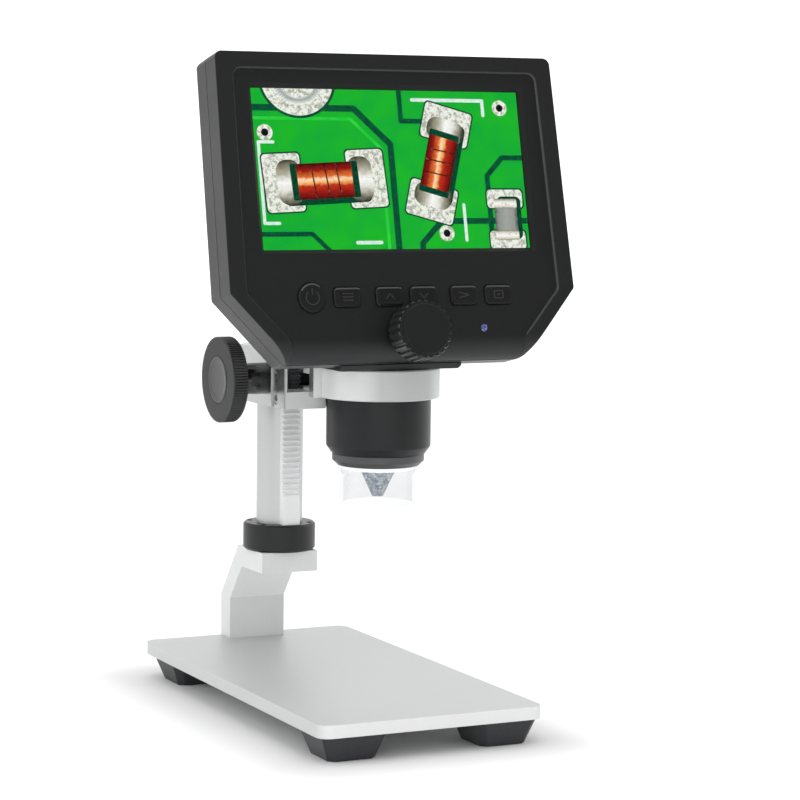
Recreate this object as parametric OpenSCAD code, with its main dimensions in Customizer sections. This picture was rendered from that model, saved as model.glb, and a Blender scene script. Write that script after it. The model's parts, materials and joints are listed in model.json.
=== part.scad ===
// Portable digital microscope with a screen head on a rack-and-pinion stand.
// Origin: centre of the base plate's top face. +Z up, the screen looks to -Y.

/* [Base plate] */
// Width of the base plate, left to right
plate_w = 77; // [70:0.5:90]
// Length of the base plate, front to back
plate_l = 149; // [140:0.5:170]
// Thickness of the base plate
plate_t = 4.2; // [3.5:0.1:6]
// Corner radius of the base plate
plate_r = 4; // [2:0.5:10]
// Width of a foot at its top
foot_top = 22; // [16:0.5:24]
// Width of a foot at its bottom
foot_bottom = 16; // [12:0.5:16]
// Height of a foot
foot_h = 8; // [6:0.1:10]

/* [Bracket and column] */
// Width of the bent flat bar
bar_w = 20.6; // [18:0.2:24]
// Radius of the column
col_r = 7.9; // [7.7:0.05:8.3]
// Top of the column above the plate
col_top = 150; // [149:1:175]
// Outer radius of the collar
collar_r = 12.4; // [12.2:0.05:13.5]
// Height of the collar
collar_h = 9.4; // [8:0.1:9.4]

/* [Rack and pinion] */
// Module of the teeth
gear_m = 0.6; // [0.6:0.1:0.6]
// Teeth on the pinion
pinion_n = 14; // [14:1:14]
// Height of the pinion axis above the plate
rest_z = 94.9; // [60:0.1:135]
// Radius of the side knob
knob_r = 14.65; // [10:0.05:16]
// Thickness of the side knob
knob_t = 5.3; // [5:0.1:8]

/* [Head] */
// Backward tilt of the screen
tilt = 13.1; // [12.8:0.05:13.4]
// Turn of the head in the ring, as seen from above, clockwise
yaw = 0; // [-10:0.5:10]
// Width of the visible screen
lcd_w = 97.8; // [90:0.1:98]
// Height of the visible screen
lcd_h = 53.4; // [50:0.1:54]
// Wall of the housing
wall = 2; // [1.6:0.1:2.4]
// Outer radius of the barrel
barrel_r = 17.6; // [17.2:0.05:17.6]
// Outer radius of the clamp ring
ring_r = 20.4; // [20:0.1:21]
// Ribs on the front knob
ribs = 24; // [16:1:32]

/* [Hidden] */
$fn = 96;

silver = [0.80, 0.81, 0.82];
black = [0.06, 0.06, 0.065];
dark = [0.12, 0.12, 0.13];
steel = [0.6, 0.6, 0.62];
clear = [0.9, 0.95, 1, 0.4];

cx = 0.8;                     // column axis
cy = plate_l/2 - 27;
arm_z = 34.3;                 // top of the bracket arm
collar_z = arm_z + collar_h;
pitch = PI*gear_m;
pinion_r = gear_m*pinion_n/2;
tip_y = cy - 10.5;            // tips of the rack's teeth
py = tip_y + gear_m - pinion_r;   // pinion axis
dz = rest_z - 94.9;           // the carriage and the head rise together
hx = cx + 20.8;               // barrel axis
hy = cy - 34.8;
ring_in = barrel_r + 0.05;
ring_z0 = 89.7 + dz;
ring_z1 = 99.95 + dz;
ox = -0.88;                   // screen centre, from the barrel axis
oy = -10.71;
oz = 165.87 + dz;
front = -2.5;                 // depth of the housing's rim, screen glass at 0
panel = -1.5;
split = 5.75;                 // parting plane of the housing
back = 14.5;
under_z = 101.95 + dz;         // underside of the housing over the flange
bu = [-33.9, -21.3, -6.2, 6.2, 21.1, 33.9];   // button centres
bv = -42.6;
btn_w = 9.7;
btn_h = 6.3;
knob_u = 1.1;                 // front knob
knob_v = -55;
led_u = 27.7;
led_v = -53.6;
post_in = 0.5;                // depth of the notch that the bracket's post stands in
fg_m = 0.5;
fg_n = 16;
fg_r = fg_m*fg_n/2;

// ---------- shape helpers ----------
function unit(v) = v/norm(v);
function leftn(a, b) = let(d = unit(b - a)) [-d[1], d[0]];
function isect(p, d, q, e) = p + d*((q - p)[0]*e[1] - (q - p)[1]*e[0])/(d[0]*e[1] - d[1]*e[0]);
// anticlockwise outline moved inwards by t
function inset(P, t) = [for (i = [0:len(P)-1])
  let(a = P[(i + len(P) - 1) % len(P)], b = P[i], c = P[(i + 1) % len(P)])
  isect(a + leftn(a, b)*t, unit(b - a), b + leftn(b, c)*t, unit(c - b))];
// anticlockwise outline with its corners rounded
function fillet(P, R, n = 6) = [for (i = [0:len(P)-1])
  let(a = P[(i + len(P) - 1) % len(P)], b = P[i], c = P[(i + 1) % len(P)],
      r = is_list(R) ? R[i] : R, u = unit(a - b), v = unit(c - b), h = acos(u*v)/2,
      m = b + unit(u + v)*r/sin(h), s = b + u*(r/tan(h)) - m, a0 = atan2(s[1], s[0]),
      g = (cross(b - a, c - b) > 0 ? 1 : -1)*(180 - 2*h)/n)
  for (k = [0:n]) m + r*[cos(a0 + k*g), sin(a0 + k*g)]];
function rect(w, l) = [[-w/2, -l/2], [w/2, -l/2], [w/2, l/2], [-w/2, l/2]];
module slab(P, z0, z1) translate([0, 0, z0]) linear_extrude(z1 - z0) polygon(P);
module rod(r, z0, z1) translate([0, 0, z0]) cylinder(r = r, h = z1 - z0);
module tube(ro, ri, z0, z1) difference() { rod(ro, z0, z1); rod(ri, z0 - 1, z1 + 1); }
module bx(x0, x1, y0, y1, z0, z1) translate([x0, y0, z0]) cube([x1 - x0, y1 - y0, z1 - z0]);
// rod with chamfered ends
module crod(r, z0, z1, c = 0.5) rotate_extrude()
  polygon([[0, z0], [r - c, z0], [r, z0 + c], [r, z1 - c], [r - c, z1], [0, z1]]);
// socket screw, head top at z = 0, shank down
module screw(hr, hh, r, l) difference() {
  union() { crod(hr, -hh, 0, 0.25); rod(r, -hh - l, -hh + 0.1); }
  translate([0, 0, -hh*0.6]) cylinder(r = hr*0.55, h = hh, $fn = 6);
}
module alongx() rotate([0, 90, 0]) children();   // z becomes +x
module alongy() rotate([-90, 0, 0]) children();  // z becomes +y

// ---------- gears ----------
function inva(a) = tan(a)*180/PI - a;
// half the angle that a tooth takes at radius r
function half_a(r, rp, n, slim) = let(rb = rp*cos(20), q = max(r, rb))
  90/n - slim/rp*90/PI + inva(20) - inva(acos(min(1, rb/q)));
function gear_pts(m, n, slim) = let(rp = m*n/2, ra = rp + m, rf = rp - 1.25*m, rb = rp*cos(20),
    rr = [rf, max(rb, rf + 0.02), rp - 0.3*m, rp, rp + 0.5*m, ra])
  [for (t = [0:n-1]) for (k = [0:11])
    let(r = k < 6 ? rr[k] : rr[11 - k], s = k < 6 ? -1 : 1, a = t*360/n + s*half_a(r, rp, n, slim))
    r*[cos(a), sin(a)]];

// ---------- placing ----------
module at_col() translate([cx, cy, 0]) children();
module at_head() translate([hx, hy, 0]) rotate([0, 0, -yaw]) children();
// x across the screen, y into the housing, z up along the screen
module at_screen() at_head() translate([ox, oy, oz]) rotate([-tilt, 0, 0]) children();
module feet_at() for (x = [-1, 1], y = [-plate_l/2 + 11, plate_l/2 - 15]) translate([x*(plate_w/2 - 12.4), y, -plate_t]) children();

// ---------- stand ----------
module base_plate() color(silver) difference() {
  slab(fillet(rect(plate_w, plate_l), plate_r, 8), -plate_t, 0);
  feet_at() rod(1.3, -1, 3);
  bx(cx - bar_w/2 - 0.1, cx + bar_w/2 + 0.1, cy + 18.7, cy + 30, -post_in, 1);
  for (x = [-5.5, 5.5]) translate([cx + x, plate_l/2 - 4.1, 0]) { rod(1.8, -plate_t - 1, 1); rod(3.1, -plate_t - 1, -plate_t + 2); }
}
module foot() difference() {
  intersection() {
    rotate([90, 0, 0]) linear_extrude(foot_top, center = true) polygon([[-foot_bottom/2, -foot_h], [foot_bottom/2, -foot_h], [foot_top/2, 0], [-foot_top/2, 0]]);
    rotate([90, 0, 90]) linear_extrude(foot_top, center = true) polygon([[-foot_bottom/2, -foot_h], [foot_bottom/2, -foot_h], [foot_top/2, 0], [-foot_top/2, 0]]);
    rotate([0, 0, 45]) rotate([90, 0, 0]) linear_extrude(foot_top*2, center = true) polygon([[-foot_bottom*0.62, -foot_h], [foot_bottom*0.62, -foot_h], [foot_top*0.62, 0], [-foot_top*0.62, 0]]);
    rotate([0, 0, -45]) rotate([90, 0, 0]) linear_extrude(foot_top*2, center = true) polygon([[-foot_bottom*0.62, -foot_h], [foot_bottom*0.62, -foot_h], [foot_top*0.62, 0], [-foot_top*0.62, 0]]);
  }
  rod(1.3, -foot_h, 1);
  rod(2.6, -foot_h - 1, -2.5);
}
module base_feet() color(black) feet_at() foot();
module foot_screws() color(steel) feet_at() translate([0, 0, -2.5]) mirror([0, 0, 1]) translate([0, 0, 1.6]) screw(2.5, 1.6, 1.25, 5.2);
module support_bracket() color(silver) difference() {
  translate([cx - bar_w/2, 0, 0]) rotate([90, 0, 90]) linear_extrude(bar_w)
    polygon([[cy + 18.8, -post_in], [cy + 27, -post_in], [cy + 27, 15], [cy + 12, arm_z], [cy - 9.3, arm_z], [cy - 9.3, arm_z - 7.1], [cy + 8.7, arm_z - 7.1], [cy + 18.8, 14.5]]);
  for (x = [-5.5, 5.5]) translate([cx + x, cy + 22.9, 0]) rod(1.6, -1, 11);
  at_col() { rod(3.05, arm_z - 8, arm_z + 1); rod(5.2, arm_z - 8, arm_z - 3.1); }
}
module bracket_screws() color(steel) for (x = [-5.5, 5.5]) translate([cx + x, plate_l/2 - 4.1, -plate_t + 2]) mirror([0, 0, 1]) translate([0, 0, 1.9]) screw(3, 1.9, 1.55, 12);
module column() color(silver) at_col() difference() {
  crod(col_r, arm_z, col_top, 0.8);
  bx(-3.1, 3.1, -col_r - 2, -6, collar_z, col_top + 1);
  rod(3.05, arm_z - 1, arm_z + 13);
  for (z = [collar_z + 5, col_top - 5]) translate([0, 0, z]) { alongy() rod(1.3, -12, 12); alongy() rod(2.3, 4.2, 12); }
}
module rack() color(silver) at_col() difference() {
  bx(-3.1, 3.1, -10.5, -6, collar_z, col_top - 1);
  // tooth gaps, one every pitch, with a tooth at the base height of each step
  for (i = [0:floor((col_top - 5 - 53.8)/pitch)]) translate([0, -10.5, 53.8 + (i + 0.5)*pitch]) rotate([90, 0, 90]) linear_extrude(10, center = true)
    polygon([[-0.5, -pitch/4 - 0.05 - (gear_m + 0.5)*tan(20)], [2.25*gear_m, -pitch/4 - 0.05 + 1.25*gear_m*tan(20)], [2.25*gear_m, pitch/4 + 0.05 - 1.25*gear_m*tan(20)], [-0.5, pitch/4 + 0.05 + (gear_m + 0.5)*tan(20)]]);
  for (z = [collar_z + 5, col_top - 5]) translate([0, 0, z]) alongy() rod(1.3, -8, 1);
}
module rack_screws() color(steel) at_col() for (z = [collar_z + 5, col_top - 5]) translate([0, 6.1, z]) alongy() screw(2.2, 1.9, 1.25, 12);
module column_collar() color(black) at_col() difference() {
  rotate_extrude() polygon([[col_r + 0.02, arm_z], [collar_r - 0.8, arm_z], [collar_r, arm_z + 0.8], [collar_r, collar_z - 0.6], [collar_r - 0.6, collar_z], [col_r + 0.02, collar_z]]);
  for (x = [-8.5, 8.5], y = [-6.2, 6.2]) translate([x, y, 0]) rod(1.1, collar_z - 3, collar_z + 1);
}
module column_bolt() color(steel) at_col() translate([0, 0, arm_z - 3.1]) mirror([0, 0, 1]) translate([0, 0, 4]) screw(5, 4, 3, 14);

// ---------- carriage ----------
module carriage_block() color(silver) difference() {
  union() {
    slab([[cx - 12, cy - 19.5], [cx + 12, cy - 19.5], [cx + 12, cy + 8], [cx + 9, cy + 11], [cx - 9, cy + 11], [cx - 12, cy + 8]], 85.7 + dz, 104.8 + dz);
    slab([[cx - 11.4, cy - 29.2], [cx - 11.1, cy - 29.5], [cx + 12, cy - 29.5], [cx + 12, cy - 19.5], [cx - 11.4, cy - 19.5]], 85.7 + dz, 104.8 + dz);
  }
  // column bore and slot for the rack
  at_col() { rod(col_r + 0.05, 80 + dz, 110 + dz); bx(-3.3, 3.3, -11.1, -5, 80 + dz, 110 + dz); }
  // pocket for the pinion, open to the front and the top, left cheek thin at its front edge
  slab([[cx - 10.6, cy - 30], [cx + 2.2, cy - 30], [cx + 2.2, py + 4.2], [cx - 8, py + 4.2], [cx - 8, cy - 24.5], [cx - 10.6, cy - 29.5]], 91.4 + dz, 106 + dz);
  // pinion clearance under the pocket's floor and towards the rack
  translate([0, py, rest_z]) alongx() rod(5.2, cx - 8, cx + 2.2);
  bx(cx - 3.3, cx + 3.3, py, cy - 6, rest_z - 5.4, 106 + dz);
  // bearings, and the slot that the shaft is laid in from the front
  translate([0, py, rest_z]) { alongx() rod(4, cx - 13, cx - 7); alongx() rod(2.8, cx + 2.1, cx + 10.6); }
  bx(cx + 2.1, cx + 5.1, cy - 30, py, rest_z - 2.8, rest_z + 2.8);
  // room for the ring, the barrel below it and the turning head above it
  translate([hx, hy, 0]) { rod(ring_r, ring_z0, 120 + dz); rod(barrel_r + 0.35, 80 + dz, 91 + dz); rod(30.4, ring_z1, 120 + dz); }
  for (a = [126, 152]) translate([hx, hy, 0]) rotate([0, 0, a]) translate([19.55, 0, 0]) { rod(0.75, 84 + dz, 92 + dz); rod(1.4, 84 + dz, 87.9 + dz); }
  // screw holes
  for (z = [88.9, 99.3]) translate([0, cy - 22.1, z + dz]) alongx() { rod(1.05, cx - 12.5, cx - (z < 90 ? 2 : 5)); rod(2.25, cx - 12.5, cx - 9.8); }
  for (z = [90.5, 100]) translate([0, cy, z + dz]) alongx() rod(2.05, cx + 5, cx + 13);
}
module clamp_ring() color(silver) difference() {
  union() {
    translate([hx, hy, 0]) crod(ring_r, ring_z0, ring_z1, 0.4);
    bx(cx - 2.5, cx + 3.3, cy - 33, cy - 29.5, ring_z0, ring_z1);
  }
  translate([hx, hy, 0]) rod(ring_in, ring_z0 - 1, ring_z1 + 1);
  for (a = [126, 152]) translate([hx, hy, 0]) rotate([0, 0, a]) translate([19.55, 0, 0]) rod(0.75, ring_z0 - 1, 96 + dz);
  translate([hx, hy, rest_z]) rotate([0, 0, 40]) alongx() rod(1.55, 15, 22);
}
module ring_screws() color(steel) for (a = [126, 152]) translate([hx, hy, 87.9 + dz]) rotate([0, 0, a]) translate([19.55, 0, 0]) mirror([0, 0, 1]) translate([0, 0, 1.3]) screw(1.35, 1.3, 0.7, 7.8);
module side_screws() color(steel) for (z = [88.9, 99.3]) translate([cx - 9.8, cy - 22.1, z + dz]) mirror([1, 0, 0]) alongx() translate([0, 0, 1.4]) screw(2.15, 1.4, 1, z < 90 ? 7 : 1.4);
module friction_pads() color("white") difference() { for (z = [90.5, 100]) translate([0, cy, z + dz]) alongx() rod(2, cx + 7.5, cx + 9.8); at_col() rod(col_r + 0.06, 80 + dz, 110 + dz); }
module tension_screws() color(steel) for (z = [90.5, 100]) translate([cx + 11.8, cy, z + dz]) alongx() difference() { crod(2, -2, 0, 0.3); translate([0, 0, -1.2]) cylinder(r = 1.1, h = 2, $fn = 6); }
module ring_grub_screw() color(steel) translate([hx, hy, rest_z]) rotate([0, 0, 40]) alongx() difference() { crod(1.5, barrel_r + 0.3, ring_r - 0.1, 0.25); rod(0.8, ring_r - 1.4, ring_r + 1); }
module shaft_bush() color(black) translate([0, py, rest_z]) alongx() difference() {
  union() { rotate_extrude() polygon([[0, cx - 23.5], [4.9, cx - 23.5], [5.3, cx - 23.1], [5.3, cx - 12], [0, cx - 12]]); rod(3.98, cx - 12.1, cx - 8); }
  rod(2.8, cx - 25, cx - 7);
}

// ---------- height knob ----------
// the pinion is turned so that a tooth gap meets the rack's tooth
mesh_off = let(q = (rest_z - 53.8)/pitch) (round(q) - q)*pitch;
module pinion_shaft() color(dark) translate([0, py, rest_z]) alongx() crod(2.75, cx - 28, cx + 10.4, 0.3);
module pinion_gear() color(dark) translate([0, py, rest_z]) rotate([90, 0, 90]) difference() {
  intersection() {
    translate([0, 0, cx - 4.3]) linear_extrude(3.8) rotate(mesh_off/pinion_r*180/PI + 180/pinion_n) polygon(gear_pts(gear_m, pinion_n, 0.1));
    rotate_extrude() polygon([[0, cx - 4.3], [4.3, cx - 4.3], [4.85, cx - 3.75], [4.85, cx - 1.05], [4.3, cx - 0.5], [0, cx - 0.5]]);
  }
  rod(2.76, cx - 5, cx + 1);
}
kx = cx - 23.7;               // inner face of the knob
module side_knob() color(black) translate([0, py, rest_z]) alongx() difference() {
  rotate_extrude() polygon([[0, kx - knob_t], [knob_r - 0.6, kx - knob_t], [knob_r - 0.3, kx - knob_t + 0.3], [knob_r - 0.3, kx - 0.5], [knob_r - 0.8, kx], [0, kx]]);
  rod(8.1, kx - knob_t - 1, kx - knob_t + 0.6);
  rod(2.76, kx - knob_t + 0.6 + 0.3, kx + 1);
  translate([0, 0, kx - 2.4]) rotate([0, 0, 180]) rotate([0, 90, 90]) rod(1.3, 2, knob_r + 1);
}
module knob_cap() color(black) translate([0, py, rest_z]) alongx() rotate_extrude() polygon([[0, kx - knob_t + 0.1], [5.6, kx - knob_t + 0.1], [7.3, kx - knob_t - 0.35], [7.75, kx - knob_t - 0.35], [8.05, kx - knob_t], [8.05, kx - knob_t + 0.6], [0, kx - knob_t + 0.6]]);
module knob_grub_screw() color(steel) translate([0, py, rest_z]) alongx() translate([0, 0, kx - 2.4]) rotate([0, 0, 180]) rotate([0, 90, 90]) difference() { crod(1.25, 2.8, knob_r - 0.6, 0.2); rod(0.7, knob_r - 2, knob_r + 1); }

// ---------- housing ----------
outer = [[-42.9, -63.6], [42.9, -63.6], [62.7, -40.95], [61.3, 38.1], [-61.3, 38.1], [-62.7, -40.95]];
corners = [3.5, 3.5, 1.5, 2.5, 2.5, 1.5];
inner_face = [[-42.4, -70], [42.4, -70], [42.4, -57], [56.7, -41], [55.2, 32.7], [-55.2, 32.7], [-56.7, -41], [-42.4, -57]];
// extruded along the depth, from d0 to d1
module deep(P, d0, d1) translate([0, d1, 0]) rotate([90, 0, 0]) linear_extrude(d1 - d0) polygon(P);
module deep_rod(u, v, r, d0, d1) translate([u, d0, v]) rotate([-90, 0, 0]) cylinder(r = r, h = d1 - d0);
// round lower front edge
module chin(r, d0) difference() {
  bx(-80, 80, -20, d0 + 8.5, -80, -55);
  translate([0, d0 + 8.5, -55]) rotate([0, 90, 0]) cylinder(r = r, h = 170, center = true);
}
module boss_at(list) for (p = list) translate([p[0], 0, p[1]]) children();
cover_pts = [[-56.9, 24], [56.9, 24], [-45.5, -52.6], [45.5, -52.6]];
module lcd_bevel() intersection() {
  translate([0, 0, -40]) linear_extrude(80) polygon([[-lcd_w/2, 1], [-lcd_w/2, -0.1], [-lcd_w/2 - 1.4, panel - 0.05], [-lcd_w/2 - 1.4, -5], [lcd_w/2 + 1.4, -5], [lcd_w/2 + 1.4, panel - 0.05], [lcd_w/2, -0.1], [lcd_w/2, 1]]);
  translate([-62, 0, 0]) rotate([90, 0, 90]) linear_extrude(124) polygon([[1, -lcd_h/2], [-0.1, -lcd_h/2], [panel - 0.05, -lcd_h/2 - 1.4], [-5, -lcd_h/2 - 1.4], [-5, lcd_h/2 + 1.4], [panel - 0.05, lcd_h/2 + 1.4], [-0.1, lcd_h/2], [1, lcd_h/2]]);
}
module front_bezel() color(black) difference() {
  union() {
    difference() {
      deep(fillet(outer, corners), front, split);
      chin(8.5, front);
      deep(fillet(inner_face, [1, 1, 2, 3, 3, 3, 3, 2], 4), -10, panel);
      difference() {
        deep(fillet(inset(outer, wall), [3, 3, 1.5, 1.5, 1.5, 1.5]), 0, split + 1);
        chin(6.6, front);
      }
    }
    intersection() {
      union() for (p = cover_pts) deep_rod(p[0], p[1], 2.2, -0.5, split);
      deep(outer, front, split);
    }
    deep_rod(knob_u, knob_v, 6.5, panel - 0.1, 3.5);
  }
  lcd_bevel();
  deep_rod(bu[0], bv, btn_w/2 + 0.25, -5, 2);
  for (i = [1:5]) translate([bu[i], 0, bv]) deep(fillet(rect(btn_w + 0.5, btn_h + 0.5), 1.6, 4), -5, 2);
  deep_rod(knob_u, knob_v, 1.6, -5, 5);
  deep_rod(led_u, led_v, 1.3, -5, 2);
  for (p = cover_pts) deep_rod(p[0], p[1], 0.95, 1.5, split + 1);
}
module hump(g, top) {
  P = [[-22 + g, -30], [22 - g, -30], [22 - g, 17 - g], [-22 + g, 17 - g]];
  intersection() {
    at_head() intersection() {
      slab(fillet(P, [0.5, 0.5, 8 - g, 8 - g]), under_z - (g > 0 ? 5 : 0), under_z + top);
      // roof falls to the housing's back
      translate([-40, 0, under_z + top - 31]) rotate([90, 0, 90]) linear_extrude(80) polygon([[-60, -40], [30, -40], [17 - g*1.3, 14 - g*0.6], [3 - g*0.3, 31 - g], [-60, 31 - g]]);
    }
    at_screen() bx(-70, 70, split, 80, -120, 60);
  }
}
module rear_cover() color(black) difference() {
  union() {
    difference() {
      union() {
        at_screen() deep(fillet(outer, corners), split, split + 3);
        at_screen() deep(fillet(inset(outer, 0.1), corners), split + 3, back - 0.9);
        at_screen() deep(fillet(inset(outer, 0.35), corners), back - 0.9, back - 0.4);
        at_screen() deep(fillet(inset(outer, 0.9), corners), back - 0.4, back);
        hump(0, 34);
      }
      at_screen() deep(fillet(inset(outer, wall), [3, 3, 1.5, 1.5, 1.5, 1.5]), split - 1, back - wall);
      hump(1.8, 34);
    }
    // screw pillars
    at_screen() intersection() {
      union() for (p = cover_pts) deep_rod(p[0], p[1], 3, split, back - 0.2);
      deep(inset(outer, 1), split, back);
    }
    at_head() for (x = [-18.6, 18.6], y = [-9, 9]) translate([x, y, 0]) rod(2.3, under_z, under_z + 8);
  }
  at_head() translate([-100, -100, under_z - 60]) cube([200, 200, 60]);
  at_screen() {
    for (p = cover_pts) { deep_rod(p[0], p[1], 1.05, split - 1, back + 1); deep_rod(p[0], p[1], 2, 11.2, back + 1); }
    // sockets and the wheel's slot in the side wall
    bx(58, 66, split + 2, 12.1, 5.8, 14.4);
    bx(58, 66, split + 2, 11.3, -19.7, -7.3);
    bx(55.7, 66, 9.5, 12.3, -32.3, -19.9);
    // air slots in the back
    for (i = [0:8]) bx(-16 + i*4, -14.4 + i*4, back - 4, back + 1, 8, 24);
  }
  at_head() for (x = [-18.6, 18.6], y = [-9, 9]) translate([x, y, 0]) rod(1.05, under_z - 1, under_z + 6);
}
module cover_screws() color(steel) at_screen() for (p = cover_pts) translate([p[0], 11.2, p[1]]) alongy() translate([0, 0, 1.5]) screw(1.9, 1.5, 0.9, 8.6);
module screen_window() color(clear) at_screen() bx(-50.4, 50.4, 0, 0.8, -28.8, 28.8);
module lcd_panel() color("darkgreen") at_screen() bx(-54, 54, 0.8, 3.7, -34.8, 32.4);
module main_board() color("darkgreen") at_screen() { bx(-36, 51.5, 6.6, 8.2, -32, 30); bx(51.5, 59, 6.6, 8.2, -32, 18); }
module battery() color("silver") at_screen() bx(-34, 4, 8.2, 12.2, -28, 28);
module button_board() color("darkgreen") at_screen() bx(-42, 42, 2.6, 3.8, -48.2, -37);
module key_switches() color(dark) at_screen() for (u = bu) bx(u - 2, u + 2, 1.9, 2.6, bv - 2, bv + 2);

module button_key(i) color(black) at_screen() translate([bu[i], 0, bv]) {
  difference() {
    union() { deep(fillet(rect(btn_w, btn_h), 1.4, 4), -2.2, 0.2); deep(fillet(rect(btn_w + 1.1, btn_h + 1.1), 1.6, 4), 0.1, 0.8); deep_rod(0, 0, 1.2, 0.7, 1.2); }
  }
}
module power_button() color(black) at_screen() { deep_rod(bu[0], bv, btn_w/2 - 0.05, -2.2, 0.2); deep_rod(bu[0], bv, btn_w/2 + 0.6, 0.1, 0.8); deep_rod(bu[0], bv, 1.2, 0.7, 1.2); }
module button_2() button_key(1);
module button_3() button_key(2);
module button_4() button_key(3);
module button_5() button_key(4);
module button_6() button_key(5);
module indicator_lens() color("blue") at_screen() deep_rod(led_u, led_v, 1.25, -1.7, 1.5);

// ---------- front knob ----------
module focus_knob() color(black) at_screen() translate([knob_u, 0, knob_v]) difference() {
  union() {
    deep_rod(0, 0, 7.4, -2.9, -1.8);
    translate([0, -2.8, 0]) rotate([90, 0, 0]) linear_extrude(8.2) polygon([for (i = [0:ribs-1]) for (k = [[-0.3, 8.95], [-0.17, 9.65], [0.17, 9.65], [0.3, 8.95]]) k[1]*[cos((i + k[0])*360/ribs), sin((i + k[0])*360/ribs)]]);
    rotate([90, 0, 0]) rotate_extrude() polygon([[0, 10.8], [8.4, 10.8], [8.4, 11.7], [8.1, 12], [0, 12]]);
  }
  deep_rod(0, 0, 1.52, -9, 0);
}
module focus_shaft() color(steel) at_screen() deep_rod(knob_u, knob_v, 1.5, -9, 20.2);
module focus_gear() color("white") at_screen() translate([knob_u, 16.6, knob_v]) rotate([90, 0, 0]) difference() {
  // a gap of the gear looks to +x, at the height of the rack's tooth
  linear_extrude(4.4) rotate(180/fg_n) polygon(gear_pts(fg_m, fg_n, 0.08));
  rod(1.51, -1, 6);
}
module focus_bracket() color(steel) difference() {
  intersection() {
    at_screen() bx(-16, 4.3, 17.6, 19.4, -70, -51);
    at_head() translate([-50, -50, under_z]) cube([100, 100, 40]);
  }
  at_screen() deep_rod(knob_u, knob_v, 1.55, 16, 22);
}

// ---------- neck and barrel ----------
module lens_carrier() color(dark) difference() {
  union() {
    at_head() { rod(barrel_r - 1.72, 76.5 + dz, 84.5 + dz); bx(fg_r + knob_u - fg_m + ox, 8.6, -12.1, -6.3, 84 + dz, 112.5 + dz); }
  }
  at_head() { rod(7.5, 77 + dz, 90 + dz); rod(6.4, 70 + dz, 80 + dz); }
  // tooth gaps run along the gear's axis
  at_screen() for (i = [-12:9]) translate([knob_u + fg_r - fg_m, 0, knob_v + (i + 0.5)*PI*fg_m]) rotate([-90, 0, 0]) mirror([0, 1, 0]) translate([0, 0, 4]) linear_extrude(24)
    polygon([[-0.5, -PI*fg_m/4 - 0.04 - (fg_m + 0.5)*tan(20)], [2.25*fg_m, -PI*fg_m/4 - 0.04 + 1.25*fg_m*tan(20)], [2.25*fg_m, PI*fg_m/4 + 0.04 - 1.25*fg_m*tan(20)], [-0.5, PI*fg_m/4 + 0.04 + (fg_m + 0.5)*tan(20)]]);
}
module objective_lens() color(clear) at_head() rotate_extrude() polygon([[0, 79.2 + dz], [3, 79.35 + dz], [6, 79.9 + dz], [6, 80 + dz], [7.48, 80 + dz], [7.48, 82.6 + dz], [6, 82.8 + dz], [3, 83.4 + dz], [0, 83.6 + dz]]);
module sensor_board() color("darkgreen") at_head() { bx(-17.5, 17.5, -4.4, 6.4, under_z, under_z + 1.2); bx(-3.6, 3.6, -3.6, 3.6, under_z - 0.9, under_z); }
module neck_flange() color(black) at_head() difference() {
  intersection() {
    slab(fillet([[-22, -17], [22.6, -17], [22.6, 17.3], [-22, 17.3]], [1, 1, 8, 8]), 100 + dz, under_z);
    // lower right edge is bevelled
    translate([0, 30, 0]) rotate([90, 0, 0]) linear_extrude(60) polygon([[-30, 99 + dz], [19.45, 99 + dz], [23.2, 101.5 + dz], [23.2, 103 + dz], [-30, 103 + dz]]);
  }
  rod(15.2, 95 + dz, 110 + dz);
  for (x = [-18.6, 18.6], y = [-9, 9]) translate([x, y, 0]) { rod(1.05, 95 + dz, 110 + dz); rod(1.95, 95 + dz, 100.9 + dz); }
}
module neck_screws() color(steel) at_head() for (x = [-18.6, 18.6], y = [-9, 9]) translate([x, y, 100.9 + dz]) mirror([0, 0, 1]) translate([0, 0, 0.8]) screw(1.85, 0.8, 1, 6);
module barrel() color(black) at_head() difference() {
  rotate_extrude() polygon([[0, 70.9 + dz], [15.85, 70.9 + dz], [barrel_r, 73.3 + dz], [barrel_r, 100 + dz], [0, 100 + dz]]);
  rod(barrel_r - 1.62, 74.2 + dz, 101 + dz);
  rod(11.2, 70 + dz, 75 + dz);
}
module barrel_tip() color(black) at_head() difference() {
  rotate_extrude() polygon([[0, 65.3 + dz], [12.45, 65.3 + dz], [12.45, 66.7 + dz], [13.8, 66.7 + dz], [15.55, 68.4 + dz], [15.55, 70.9 + dz], [0, 70.9 + dz]]);
  rod(11.2, 68.4 + dz, 72 + dz);
  rod(11.2, 63 + dz, 67.2 + dz);
  rod(4, 60 + dz, 75 + dz);
}
module led_board() color("white") at_head() tube(11.1, 6.3, 66 + dz, 67.2 + dz);
module leds() color("lightyellow") at_head() for (i = [0:7]) rotate([0, 0, i*45 + 20]) bx(7.5, 10, -1.25, 1.25, 65.2 + dz, 66 + dz);
module nose_cone() color(dark) at_head() difference() {
  rotate_extrude() polygon([[0, 56 + dz], [1.9, 56 + dz], [5.5, 63.7 + dz], [5.5, 64.3 + dz], [6.5, 64.3 + dz], [6.5, 64.8 + dz], [6.25, 64.8 + dz], [6.25, 67.2 + dz], [0, 67.2 + dz]]);
  rotate_extrude() polygon([[0, 54 + dz], [1.2, 54 + dz], [1.2, 57.2 + dz], [4, 63.2 + dz], [4, 68 + dz], [0, 68 + dz]]);
}
module clear_shroud() color(clear) at_head() difference() {
  rotate_extrude() polygon([[11.6, 53.8 + dz], [12.8, 53.8 + dz], [12.8, 63 + dz], [14, 63.8 + dz], [14, 66.7 + dz], [12.5, 66.7 + dz], [12.5, 64 + dz], [11.6, 63.2 + dz]]);
}

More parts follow.
